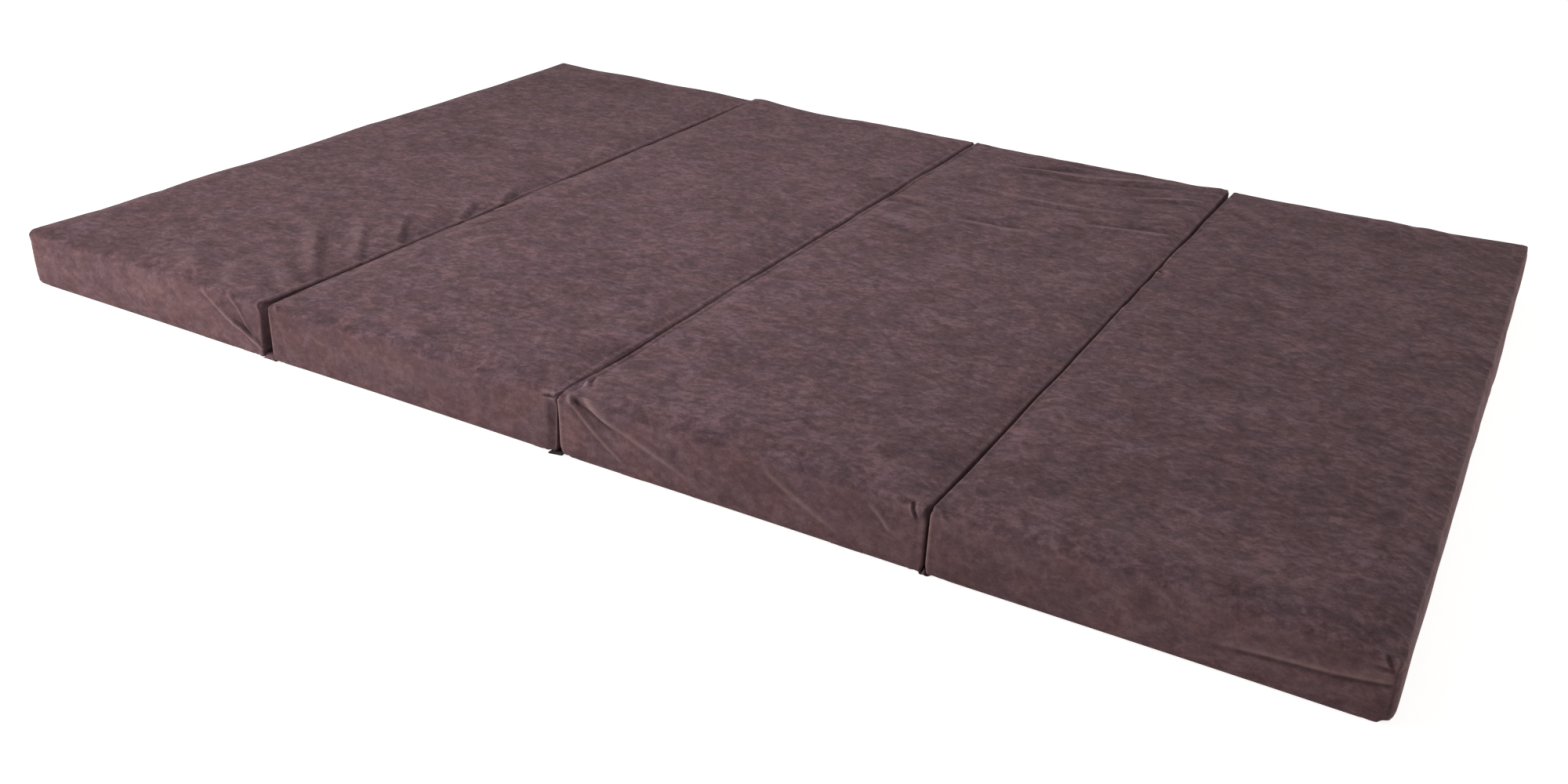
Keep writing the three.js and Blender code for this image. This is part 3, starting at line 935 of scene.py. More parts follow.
# The wrinkles of each panel's cover.
PANEL_CREASES: dict[int, tuple[Crease, ...]] = {
    1: (
        ridge(Side.NEAR, ((118, 88), (146, 67), (182, 45), (209, 33), (236, 17)), 1.7, 2.6, (0.25, 0.1)),
        lap(Side.NEAR, ((244, 11), (236, 17), (209, 33), (182, 45), (150, 64)), 1.5, 3.0, (0.05, 0.7)),
        ridge(Side.NEAR, ((163, 91), (192, 76), (206, 59), (219, 36), (238, 17)), 1.5, 2.6, (0.35, 0.05)),
        swell(Side.NEAR, ((150, 80), (190, 54), (226, 28)), -1.5, 8, (0.3, 0.1)),
        swell(Side.NEAR, ((-30, 69), (42, 52), (100, 30)), 0.9, 9),
        swell(Side.NEAR, ((64, 78), (100, 52), (150, 26)), 0.8, 8),
        tuck(Side.NEAR, ((241, 86), (244, 82), (247, 73)), 1.8, 2.0, (0.1, 0.4)),
        swell(Side.TOP, ((26, 300), (120, 226), (208, 136), (244, 100)), 2.4, 14, (0.45, 0.06)),
        swell(Side.TOP, ((78, 298), (154, 213), (232, 127), (247, 112)), -3.3, 10, (0.4, 0.04)),
        swell(Side.TOP, ((142, 157), (191, 123), (244, 87)), -2.8, 9, (0.4, 0.08)),
        swell(Side.TOP, ((100, 140), (150, 104), (215, 66), (244, 50)), 1.9, 11, (0.4, 0.06)),
        swell(Side.TOP, ((118, 327), (183, 259), (233, 199), (246, 182)), 2.3, 12, (0.5, 0.05)),
        swell(Side.TOP, ((139, 329), (205, 250), (241, 202), (248, 193)), -3.1, 9, (0.4, 0.04)),
        swell(Side.TOP, ((155, 381), (224, 301), (247, 274)), 1.8, 11, (0.5, 0.05)),
        swell(Side.TOP, ((169, 392), (233, 304), (248, 284)), -2.6, 8, (0.4, 0.04)),
        swell(Side.TOP, ((246, 407), (207, 504)), 1.9, 8, (0.06, 0.4)),
        swell(Side.TOP, ((247, 422), (216, 511)), -2.8, 7, (0.04, 0.4)),
        swell(Side.TOP, ((248, 508), (202, 620)), 2.2, 8, (0.06, 0.5)),
        swell(Side.TOP, ((248, 524), (233, 590)), -2.6, 7, (0.04, 0.4)),
        swell(Side.TOP, ((-7, 96), (40, 54), (84, 14)), 1.6, 12, (0.4, 0.2)),
        swell(Side.TOP, ((92, 92), (130, 52), (168, 12)), 1.9, 11, (0.4, 0.2)),
        swell(Side.TOP, ((130, 110), (186, 70), (236, 22)), -1.9, 10, (0.4, 0.2)),
    ),
    2: (
        tuck(Side.NEAR, ((-234, 91), (-226, 87), (-219, 81)), 1.6, 2.6, (0.1, 0.6)),
        swell(Side.NEAR, ((-240, 82), (-226, 50), (-220, 20)), -1.2, 7, (0.2, 0.4)),
        tuck(Side.NEAR, ((224, 80), (236, 81), (249, 83)), 2.2, 1.5, (0.3, 0.02)),
        swell(Side.NEAR, ((243, 78), (244, 44), (245, 6)), -3.4, 8, (0.2, 0)),
        swell(Side.NEAR, ((-120, 60), (10, 48), (140, 56)), 0.7, 14),
        swell(Side.TOP, ((-223, 300), (-209, 375), (-186, 437)), 1.9, 7, (0.4, 0.4)),
        swell(Side.TOP, ((-217, 400), (-208, 441), (-190, 488)), -2.0, 6, (0.3, 0.4)),
        swell(Side.TOP, ((-181, 320), (-160, 372), (-133, 417)), 1.5, 8, (0.4, 0.4)),
        swell(Side.TOP, ((-242, 486), (-217, 560)), 1.9, 7, (0.1, 0.5)),
        swell(Side.TOP, ((-214, 484), (-202, 528)), -1.6, 6, (0.3, 0.5)),
        swell(Side.TOP, ((-110, 289), (-67, 366)), -1.0, 13, (0.4, 0.4)),
        swell(Side.TOP, ((-160, 1290), (-96, 1220), (-26, 1150)), 1.2, 12),
        swell(Side.TOP, ((40, 1320), (110, 1280), (190, 1240)), 1.1, 11),
        swell(Side.TOP, ((-130, 700), (-60, 790), (40, 830)), 0.9, 26),
    ),
    3: (
        ridge(Side.NEAR, ((-240, 88), (-227, 80), (-205, 60), (-180, 41), (-161, 27), (-139, 12)), 1.7, 2.6,
              (0.04, 0.3)),
        lap(Side.NEAR, ((-232, 92), (-216, 88), (-196, 80), (-173, 69), (-150, 61)), 2.6, 3.2, (0.08, 0.5)),
        ridge(Side.NEAR, ((-196, 80), (-157, 64), (-116, 50), (-76, 35), (-40, 20)), 1.5, 3.4, (0.2, 0.35)),
        swell(Side.NEAR, ((-230, 84), (-205, 72), (-170, 52)), -1.8, 6, (0.1, 0.5)),
        ridge(Side.NEAR, ((24, 86), (64, 62), (113, 37), (133, 27), (158, 13)), 1.3, 3.6, (0.35, 0.3)),
        ridge(Side.NEAR, ((176, 76), (182, 70), (195, 59), (206, 47), (216, 41)), 1.5, 3.2, (0.3, 0.3)),
        swell(Side.NEAR, ((196, 76), (210, 66), (222, 56)), -1.0, 7, (0.3, 0.3)),
        tuck(Side.NEAR, ((214, 83), (224, 86), (230, 87)), 1.4, 2.0, (0.5, 0.1)),
        tuck(Side.NEAR, ((229, 88), (233, 80), (239, 67)), 2.2, 2.0, (0.05, 0.4)),
        ridge(Side.TOP, ((-232, 34), (-239, 48), (-246, 62)), 1.4, 3.4, (0.3, 0.2)),
        tuck(Side.TOP, ((-224, 36), (-234, 50), (-243, 66)), 1.4, 3, (0.3, 0.2)),
        ridge(Side.TOP, ((-185, 1204), (-96, 1230), (3, 1244), (93, 1282), (197, 1337)), 1.6, 7, (0.4, 0.3)),
        swell(Side.TOP, ((-190, 1174), (-90, 1200), (10, 1214), (104, 1250), (204, 1302)), -2.4, 10,
              (0.4, 0.2)),
        swell(Side.TOP, ((-150, 1224), (-65, 1252), (44, 1290)), -3.4, 10, (0.4, 0.3)),
        swell(Side.TOP, ((-90, 1292), (40, 1312), (150, 1332)), -2.4, 12, (0.4, 0.3)),
        ridge(Side.TOP, ((-171, 1039), (-116, 1067), (-53, 1062), (35, 1066), (112, 1079), (173, 1083)),
              1.2, 6, (0.4, 0.4)),
        swell(Side.TOP, ((-171, 1017), (-110, 1045), (-50, 1040), (40, 1044), (170, 1061)), -1.9, 9,
              (0.4, 0.4)),
        ridge(Side.TOP, ((60, 972), (132, 1002), (176, 1010), (234, 1027)), 1.4, 6, (0.5, 0.1)),
        swell(Side.TOP, ((70, 992), (140, 1020), (230, 1042)), -2.2, 9, (0.4, 0.1)),
        swell(Side.TOP, ((-242, 946), (-164, 941), (-110, 924)), 1.5, 8, (0.08, 0.5)),
        swell(Side.TOP, ((-242, 925), (-180, 918), (-120, 902)), -2.4, 8, (0.08, 0.5)),
        ridge(Side.TOP, ((-125, 884), (-44, 890), (3, 893), (50, 897)), 1.3, 6, (0.4, 0.4)),
        swell(Side.TOP, ((-120, 905), (-40, 908), (30, 912)), -2.0, 8, (0.4, 0.4)),
        ridge(Side.TOP, ((95, 1166), (173, 1211), (232, 1240)), 1.4, 5.5, (0.5, 0.15)),
        swell(Side.TOP, ((95, 1144), (176, 1187), (236, 1216)), -1.8, 9, (0.5, 0.1)),
        swell(Side.TOP, ((-245, 895), (-186, 911), (-130, 914)), 1.4, 7, (0.05, 0.6)),
        swell(Side.TOP, ((-238, 812), (-199, 802), (-89, 772)), -2.4, 13, (0.2, 0.5)),
        swell(Side.TOP, ((-242, 838), (-180, 836), (-90, 812)), 1.2, 12, (0.1, 0.5)),
        swell(Side.TOP, ((-60, 1120), (40, 1130), (150, 1150)), 1.0, 14, (0.4, 0.4)),
    ),
    4: (
        lap(Side.NEAR, ((30, 33), (100, 40), (140, 43), (171, 45), (200, 48), (245, 55)), 1.7, 3.4,
            (0.45, 0.04)),
        swell(Side.NEAR, ((120, 46), (182, 62), (222, 73)), -1.0, 8, (0.4, 0.2)),
        tuck(Side.NEAR, ((223, 88), (228, 79), (240, 68)), 1.7, 2.2, (0.2, 0.2)),
        tuck(Side.NEAR, ((212, 66), (228, 66), (241, 67)), 1.3, 2.2, (0.5, 0.1)),
        tuck(Side.NEAR, ((-236, 90), (-230, 84), (-222, 82)), 1.2, 2.6, (0.1, 0.5)),
        swell(Side.TOP, ((-240, 1262), (-164, 1190), (-92, 1118)), 1.3, 9, (0.2, 0.5)),
        swell(Side.TOP, ((-244, 1238), (-176, 1168), (-110, 1100)), -1.1, 8, (0.2, 0.5)),
        swell(Side.TOP, ((-244, 1112), (-204, 1092), (-165, 1032), (-146, 987)), 1.2, 8, (0.2, 0.5)),
        ridge(Side.TOP, ((-6, 1344), (57, 1322), (112, 1250)), 1.2, 8, (0.2, 0.5)),
        ridge(Side.TOP, ((65, 1346), (111, 1326), (168, 1268)), 1.2, 8, (0.2, 0.5)),
        swell(Side.TOP, ((-75, 1338), (-1, 1330), (50, 1316)), 1.1, 8),
        tuck(Side.TOP, ((-245, 866), (-232, 854)), 1.6, 3.4, (0.05, 0.5)),
        swell(Side.TOP, ((-236, 850), (-228, 800), (-222, 750)), -1.0, 8, (0.2, 0.4)),
        swell(Side.TOP, ((-140, 90), (40, 60), (190, 84)), 0.8, 20),
    ),
}

# Where the edges of each panel stand higher or lower.
PANEL_LIFTS: dict[int, tuple[Lift, ...]] = {
    1: (Lift((-247, 0), 0.6, 70), Lift((240, 1350), -2.0, 60)),
    2: (Lift((-225, 1345), 3.0, 32),),
    3: (Lift((-240, 8), 1.0, 30), Lift((236, 1340), 3.0, 34)),
    4: (Lift((247, 0), -11.0, 95), Lift((-240, 1340), 0.8, 40), Lift((247, 1350), 3.0, 80)),
}

# The corners that each cover draws in.
PANEL_DENTS: dict[int, tuple[Dent, ...]] = {
    1: (Dent((-247, 0, 0), (3, 2, 2), 14), Dent((247, 0, 0), (-1, 1, 0.3), 10)),
    2: (Dent((247, 0, 0), (-2, 1, 0.4), 12),),
    3: (Dent((-247, 0, 0), (3, 1, 2), 12),),
    4: (Dent((247, 0, 0), (-9, 2, 6), 9), Dent((-247, 0, 0), (2, 1, 1), 10)),
}

# How the covers on the left and on the right of each fold stand beside it.
FOLD_CLOSINGS: dict[int, tuple[Closing, Closing]] = {
    1: (
        Closing((0, 30, 100, 240, 420, 1350), (4.6, 3.4, 2.0, 0.9, 0.35, 0.6),
                (10.5, 8.5, 5.0, 2.0, 1.0, 1.4)),
        Closing((0, 30, 100, 240, 420, 1350), (5.4, 3.8, 2.0, 0.7, 0.35, 0.7),
                (7.5, 5.6, 3.2, 1.4, 1.0, 1.4)),
    ),
    2: (Closing((0, 80, 500, 1350), (0.4, 0.4, 0.6, 1.2), (3.4, 2.2, 1.2, 1.4)),) * 2,
    3: (
        Closing((0, 200, 500, 800, 1100, 1350), (1.4, 1.2, 0.5, 0.5, 1.6, 3.0),
                (1.2, 1.2, 1.0, 1.0, 1.6, 2.4)),
    ) * 2,
}

# How the two end panels stand at the ends of the bed, measured from the same line as at a fold.
OUTER_CLOSINGS: dict[int, Closing] = {
    1: Closing(top=(3.0, 3.0), foot=(3.0, 3.0)),
    4: Closing((0, 820, 930, 1040, 1350), (3.6, 3.6, 3.0, 3.6, 3.6), (0.4, 0.6, -2.6, 0.6, 1.6)),
}

# The upright corners at the ends of the bed: the near one and the far one.
OUTER_CORNERS: dict[int, tuple[Tightness, Tightness]] = {
    1: (Tightness(13.0, 15.0, 22.0), Tightness(13.0, 6.0, 20.0)),
    4: (Tightness(13.0, 10.0, 20.0), Tightness(13.0, 7.0, 20.0)),
}


# The panels


def dress(
    piece: bpy.types.Object,
    body: str,
    slot: str,
    finish: bpy.types.Material,
    *nodes: str,
) -> None:
    """Gives a finished piece its material and its place in the frame.

    Args:
        piece: the mesh object.
        body: the body that it moves with.
        slot: the record's material slot; not used.
        finish: its material.
        nodes: the CAD nodes that it stands for.
    """
    piece.data.materials.clear()
    piece.data.materials.append(finish)
    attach(piece, body)
    if nodes:
        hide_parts(*nodes)
    LOG.info("%s: %d faces, on %s", piece.name, len(piece.data.polygons), body)


@dataclass
class Cover:
    """The velour cover of one panel, full of its foam. Its lengths are in millimetres.

    Attributes:
        number: which panel, from 1.
        slack: how far the walls of the starting block stand inside the cover's own box.
        fold_gap: from the cover's box to the middle of a fold.
        end_gap: how far the near and far ends stand inside the box.
        bulge_kept: the share of the walls' bulge that stays.
        cap: the furthest that the filling moves a point.
        highest: what the tops stay under, so that the panels can fold onto each other.
        lowest: what the cover stays above.
        block_share: how much of its rounding the starting block gets before it is filled.
        fine_band: how far from a crisp edge the net is refined.
        refinements: for each round of refining, the broadest crease that it is for, and the margin beside it.
        facing_share: how far a face has to look out of a crease's side to be refined for it.
        hem_reach: from the cover's box to the hem's inner edge.
        zip_hold: how far around the zip the sewn tape holds the cover straight.
        wall_band: how far in from a wall the cover moves with it.
        fold_clearance: what stays free on each side of the middle of a fold.
        corner_highlight: how strong the painted highlight is along the left and the right upright corner.
        wander: the wavelength and the height of the top's slow wandering.
        sink: how far the whole top lies down between its edges.
        ripples: the wavelength and the height of each of the ripples where the cloth is loose.
        upward: what is added to the normal's Z, to tell how much of a wall's edge belongs to the top.
    """

    number: int

    slack: float = 3.0
    fold_gap: float = 3.0
    end_gap: float = 0.6
    bulge_kept: float = 0.35
    start_top: float = 86.4
    start_floor: float = 0.6
    cap: float = 6.0
    highest: float = 91.8
    lowest: float = 0.2
    soft_limit: float = 2.0
    voxel: float = 8.5
    end_edge_radius: Tightness = Tightness(20.0, 12.0, 24.0)
    fold_edge_radius: Tightness = Tightness(11.0, 3.2, 16.0)
    outer_edge_radius: Tightness = Tightness(12.0, 5.0, 18.0)
    floor_edge_radius: Tightness = Tightness(9.0, 3.6, 14.0)
    fold_corner_radius: Tightness = Tightness(10.0, 3.4, 15.0)
    edge_segments: int = 4
    block_share: float = 0.75
    fine_band: float = 15.0
    refinements: tuple[tuple[float, float], ...] = ((8.0, 8.0), (4.6, 2.0))
    facing_share: float = 0.3
    hem_reach: float = 24.8
    hem_depth: float = 1.4
    hem_lip: float = 1.2
    underside_band: float = 3.0
    slot_length: float = 424.0
    slot_height: float = 19.0
    slot_depth: float = 5.0
    zip_hold: float = 12.0
    wall_band: float = 46.0
    held_depth: float = 3.0
    fold_clearance: float = 0.3
    corner_highlight: tuple[float, float] = (0.45, 0.1)
    edge_highlight: float = 0.14
    highlight_reach: float = 3.6
    wander: tuple[float, float] = (190.0, 0.9)
    sink: float = 0.4
    loose_patch: float = 420.0
    ripples: tuple[tuple[float, float], ...] = ((62.0, 0.45), (24.0, 0.16))
    upward: float = 0.7
    seed: int = 100
    pressure: float = 0.4
    frames: int = 12
    quality: int = 4

    def __post_init__(self) -> None:
        """Reads the cover's place from the frame."""
        low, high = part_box(self.node)
        self.low = low
        self.high = high
        self.middle = (low.x + high.x) / 2
        self.half_width = (high.x - low.x) / 2
        self.depth = (high.y - low.y) / MM
        self.pitch = self.half_width / MM + self.fold_gap
        zip_low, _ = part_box(f"panel_{self.number}_zip_tape_lower")
        _, zip_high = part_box(f"panel_{self.number}_zip_tape_upper")
        self.zip_height = (zip_low.z + zip_high.z) / 2

    @property
    def node(self) -> str:
        """The name of the CAD node that the cover stands for."""
        return f"panel_{self.number}_cover"

    @property
    def closings(self) -> tuple[Closing, Closing]:
        """How the cover stands on its left and on its right, towards a fold or free."""
        left = OUTER_CLOSINGS[1] if self.number == 1 else FOLD_CLOSINGS[self.number - 1][1]
        right = OUTER_CLOSINGS[PANEL_COUNT] if self.number == PANEL_COUNT else FOLD_CLOSINGS[self.number][0]
        return left, right

    def is_outer(self, sign: int) -> bool:
        """Whether the side towards -X, or towards +X where the sign is 1, is an end of the bed."""
        return self.number == (1 if sign < 0 else PANEL_COUNT)

    def to_panel(self, points: Points) -> Points:
        """Turns places in the frame into millimetres from the panel's middle line, near end and floor."""
        return (points - np.array((self.middle, self.low.y, 0))) / MM

    def to_frame(self, points: Points) -> Points:
        """Turns places on the panel back into the frame."""
        return points * MM + np.array((self.middle, self.low.y, 0))

    def edge_radius(self, start: Vector, end: Vector) -> Tightness:
        """Chooses the rounding of one edge of the starting block.

        Args:
            start: one end of the edge, in the frame.
            end: its other end.

        Returns:
            The rounding.
        """
        centre = (start + end) / 2
        outer = self.is_outer(-1 if centre.x < self.middle else 1)
        if abs(start.z - end.z) > MM:
            return OUTER_CORNERS[self.number][0] if outer else self.fold_corner_radius
        if centre.z < self.high.z / 2:
            return self.floor_edge_radius
        if abs(start.x - end.x) > MM:
            return self.end_edge_radius
        return self.outer_edge_radius if outer else self.fold_edge_radius

    def block(self) -> bpy.types.Object:
        """Makes the slightly smaller block that the pressure fills: rounded edges, an even net of faces."""
        slack = self.slack * MM
        low = Vector((self.low.x + slack, self.low.y + slack, self.start_floor * MM))
        high = Vector((self.high.x - slack, self.high.y - slack, self.start_top * MM))
        bpy.ops.mesh.primitive_cube_add(size=1, location=(low + high) / 2)
        block = just_made(self.node + "_velour", high - low)
        mesh = block.data
        radii = np.array([
            self.edge_radius(mesh.vertices[a].co, mesh.vertices[b].co).slack * self.block_share
            for a, b in (edge.vertices for edge in mesh.edges)
        ])
        widest = radii.max()
        weights = mesh.attributes.new("bevel_weight_edge", "FLOAT", "EDGE")
        weights.data.foreach_set("value", radii / widest)
        finished(block, "BEVEL", limit_method="WEIGHT", width=widest * MM, segments=self.edge_segments)
        finished(block, "REMESH", mode="VOXEL", voxel_size=self.voxel * MM, use_smooth_shade=True)
        return block

    def held_points(self, block: bpy.types.Object) -> list[int]:
        """Lists the points that the floor and the next panels hold: they don't move as the cover fills."""
        points = self.to_panel(points_of(block))
        wall = self.half_width / MM - self.slack - self.held_depth
        against = np.zeros(len(points), bool)
        for sign in (-1, 1):
            if not self.is_outer(sign):
                against |= sign * points[:, 0] > wall
        against &= points[:, 2] < self.start_top - self.held_depth
        return np.flatnonzero(against | (points[:, 2] < self.start_floor + self.held_depth)).tolist()

    def open_underside(self, cover: bpy.types.Object) -> None:
        """Sinks the underside inside the hem, where the base cloth closes it."""
        reach = self.half_width - self.hem_reach * MM
        near = self.low.y + self.hem_reach * MM
        far = self.high.y - self.hem_reach * MM

        def underneath(centres: Points, normals: Points) -> np.ndarray:
            return (normals[:, 2] < -SQUARE_ON) & (centres[:, 2] < self.underside_band * MM)

        def inside(centres: Points, normals: Points) -> np.ndarray:
            across = np.abs(centres[:, 0] - self.middle) < reach
            return underneath(centres, normals) & across & (centres[:, 1] > near) & (centres[:, 1] < far)

        score_faces(cover, underneath,
                    planes_across(0, self.middle - reach, self.middle + reach) + planes_across(1, near, far))

        def sink() -> None:
            bpy.ops.mesh.inset(thickness=self.hem_lip * MM, depth=-self.hem_depth * MM)
            bpy.ops.mesh.delete(type="FACE")

        edit_faces(cover, inside(*face_places(cover)), sink)

    def close_underside(self, cover: bpy.types.Object) -> None:
        """Closes the recess inside the hem with one flat face."""

        def close() -> None:
            bpy.ops.mesh.select_mode(type="EDGE")
            bpy.ops.mesh.select_non_manifold()
            bpy.ops.mesh.edge_face_add()

        edit_faces(cover, np.zeros(len(cover.data.polygons), bool), close)

    def open_zip_slot(self, cover: bpy.types.Object) -> None:
        """Sinks the slot that the zip's tapes lie in."""
        half_length = self.slot_length / 2 * MM
        half_height = self.slot_height / 2 * MM

        def far_wall(centres: Points, normals: Points) -> np.ndarray:
            return normals[:, 1] > SQUARE_ON

        def inside(centres: Points, normals: Points) -> np.ndarray:
            across = np.abs(centres[:, 0] - self.middle) < half_length
            level = np.abs(centres[:, 2] - self.zip_height) < half_height
            return far_wall(centres, normals) & across & level

        score_faces(cover, far_wall,
                    planes_across(0, self.middle - half_length, self.middle + half_length)
                    + planes_across(2, self.zip_height - half_height, self.zip_height + half_height))
        edit_faces(cover, inside(*face_places(cover)), lambda: bpy.ops.mesh.extrude_region_move(
            TRANSFORM_OT_translate={"value": (0, -self.slot_depth * MM, 0)},
        ))

    def refine(self, cover: bpy.types.Object) -> None:
        """Halves the faces near crisp edges and narrow creases, so that each has enough points."""
        for order, (widest, margin) in enumerate(self.refinements):
            centres, normals = face_places(cover)
            places = self.to_panel(centres)
            across = self.half_width / MM - np.abs(places[:, 0])
            along = np.minimum(places[:, 1], self.depth - places[:, 1])
            high = places[:, 2] > self.start_top - self.fine_band
            chosen = (across < self.fine_band) & (high | (along < self.fine_band)) & (order == 0)
            for crease in PANEL_CREASES[self.number]:
                if crease.width > widest:
                    continue
                facing = normals @ np.array(crease.side.outward, float)
                chosen |= crease.near(places, margin) & (facing > self.facing_share)
            edit_faces(cover, chosen, lambda: bpy.ops.mesh.subdivide(number_cuts=1))

    def crisp(self, points: Points) -> Points:
        """Draws the cover tight over the edges of the foam, which the net of faces has rounded off.

        Args:
            points: rows of places on the panel, in millimetres.

        Returns:
            The points with crisper edges.
        """
        result = points.copy()
        for sign, closing in zip((-1, 1), self.closings):
            outer = self.is_outer(sign)
            wall = self.pitch - closing.distance(result, self.start_top)
            top_radius = self.outer_edge_radius if outer else self.fold_edge_radius
            corners = OUTER_CORNERS[self.number] if outer else (self.fold_corner_radius,) * 2
            across = sign * result[:, 0]
            upper = tightened(across - wall, result[:, 2] - self.start_top, top_radius)
            lower = tightened(across - wall, self.start_floor - result[:, 2], self.floor_edge_radius)
            result[:, 0] += sign * (upper[0] + lower[0])
            result[:, 2] += upper[1] - lower[1]
            across = sign * result[:, 0]
            near = tightened(across - wall, self.end_gap - result[:, 1], corners[0])
            far = tightened(across - wall, result[:, 1] - (self.depth - self.end_gap), corners[1])
            result[:, 0] += sign * (near[0] + far[0])
            result[:, 1] += far[1] - near[1]
        for sign, wall in ((-1, -self.end_gap), (1, self.depth - self.end_gap)):
            beyond = sign * result[:, 1] - wall
            upper = tightened(beyond, result[:, 2] - self.start_top, self.end_edge_radius)
            lower = tightened(beyond, self.start_floor - result[:, 2], self.floor_edge_radius)
            result[:, 1] += sign * (upper[0] + lower[0])
            result[:, 2] += upper[1] - lower[1]
        return result

    def stand_walls(self, points: Points) -> Points:
        """Moves the four walls to where they stand on the real bed, and takes most of their bulge out."""
        result = points.copy()
        left, right = (self.pitch - closing.distance(points, self.start_top) for closing in self.closings)
        start = self.half_width / MM - self.slack
        walls = (
            (0, -1, start, left),
            (0, 1, start, right),
            (1, -1, -self.slack, -self.end_gap),
            (1, 1, self.depth - self.slack, self.depth - self.end_gap),
        )
        for axis, sign, start, target in walls:
            outward = sign * points[:, axis] - start
            share = smooth_step(1 + outward / self.wall_band)
            surplus = (1 - self.bulge_kept) * np.maximum(outward, 0)
            result[:, axis] += sign * share * (target - start - surplus)
        return result

    def painted_edge_highlights(self, points: Points) -> np.ndarray:
        """Paints a highlight along the crisp upright and top edges, from 0 to 1: painted light, strongest at
        the left upright corner.
        """
        worn = np.zeros(len(points))
        for sign, closing, corner_highlight in zip((-1, 1), self.closings, self.corner_highlight):
            inside = self.pitch - closing.distance(points, self.start_top) - sign * points[:, 0]
            for gap, share in ((points[:, 1] - self.end_gap, corner_highlight),
                               (self.start_top - points[:, 2], self.edge_highlight)):
                away = np.hypot(inside, gap) / self.highlight_reach
                worn = np.maximum(worn, share * bell(away))
        return worn

    def settle(self, cover: bpy.types.Object) -> None:
        """Gives the filled cover its own folds, sags and wrinkles, and painted light on creases and edges."""
        points = self.crisp(self.stand_walls(self.to_panel(points_of(cover))))
        for dent in PANEL_DENTS[self.number]:
            points = dent.drawn(points)
        for each in PANEL_LIFTS[self.number]:
            points = each.raised(points, self.start_top)
        move_points(cover, self.to_frame(points))
        normals = normals_of(cover)
        lift = np.zeros(len(points))
        # Painted light: a highlight along the crisp edges, to which the creases add theirs.
        pile = self.painted_edge_highlights(points)
        # Painted light on the creases: a highlight on crests, shade in valleys.
        for crease in PANEL_CREASES[self.number]:
            facing = normals @ np.array(crease.side.outward, float)
            rise, crease_light = crease.shape(points, facing)
            lift += rise
            pile += crease_light
        up = np.clip(normals[:, 2] + self.upward, 0, 1)
        seed = self.seed * self.number
        loose = smooth_step(0.5 + drift(points, self.loose_patch, seed))
        wavelength, height = self.wander
        lift += up * (height * drift(points, wavelength, seed + 1) - self.sink)
        for order, (wavelength, height) in enumerate(self.ripples, 2):
            lift += up * loose * height * drift(points, wavelength, seed + order)
        from_zip = np.abs(points[:, 2] - self.zip_height / MM) / self.zip_hold
        by_zip = smooth_step(2 - from_zip) * smooth_step(2 - (self.depth - points[:, 1]) / self.zip_hold)
        points += (lift * (1 - by_zip))[:, None] * normals
        self.keep_clear(points)
        move_points(cover, self.to_frame(points))
        attribute = cover.data.attributes.new(PAINTED_LIGHT_ATTRIBUTE, "FLOAT", "POINT")
        attribute.data.foreach_set("value", np.clip(pile, -1, 1))

    def keep_clear(self, points: Points) -> None:
        """Keeps the cover off the floor, its neighbours and the panels that fold onto it."""
        soft = self.soft_limit
        limit = self.highest - soft
        over = points[:, 2] > limit
        points[over, 2] = limit + soft * np.tanh((points[over, 2] - limit) / soft)
        for sign in (-1, 1):
            if not self.is_outer(sign):
                points[:, 0] = sign * np.minimum(sign * points[:, 0], self.pitch - self.fold_clearance)
        points[:, 2] = np.maximum(points[:, 2], self.lowest)

    def finish(self, cover: bpy.types.Object, finishes: Finishes) -> None:
        self.open_underside(cover)
        self.open_zip_slot(cover)
        self.refine(cover)
        finished(cover, "SUBSURF", levels=1, render_levels=1)
        self.close_underside(cover)
        self.settle(cover)
        shade_smooth(cover)
        dress(cover, f"panel_{self.number}", "velour", finishes.velour, self.node)


def fill_with_pressure(covers: Sequence[tuple[Cover, bpy.types.Object]]) -> None:
    """Fills all the covers at once by cloth simulation, and keeps the result in their meshes.

    Args:
        covers: each cover with its starting block.
    """
    shortest = 1e-9
    before = [points_of(block) for _, block in covers]
    for cover, block in covers:
        held = block.vertex_groups.new(name="held")
        held.add(cover.held_points(block), 1.0, "REPLACE")
        cloth = block.modifiers.new("Filling", "CLOTH")
        cloth.settings.vertex_group_mass = held.name
        cloth.settings.use_pressure = True
        cloth.settings.uniform_pressure_force = cover.pressure
        cloth.settings.effector_weights.gravity = 0
        cloth.settings.quality = cover.quality
    scene = bpy.context.scene
    for frame in range(1, covers[0][0].frames + 1):
        scene.frame_set(frame)
    for (cover, block), start in zip(covers, before):
        pick(block)
        bpy.ops.object.modifier_apply(modifier="Filling")
        moved = points_of(block) - start
        length = np.linalg.norm(moved, axis=1)
        cap = cover.cap * MM
        share = cap * np.tanh(length / cap) / np.maximum(length, shortest)
        points = start + moved * share[:, None]
        points[:, 2] = np.maximum(points[:, 2], cover.start_floor * MM)
        move_points(block, points)
        LOG.info("%s filled, %d points, moved up to %.1f mm", block.name, len(points), length.max() / MM)
    scene.frame_set(1)


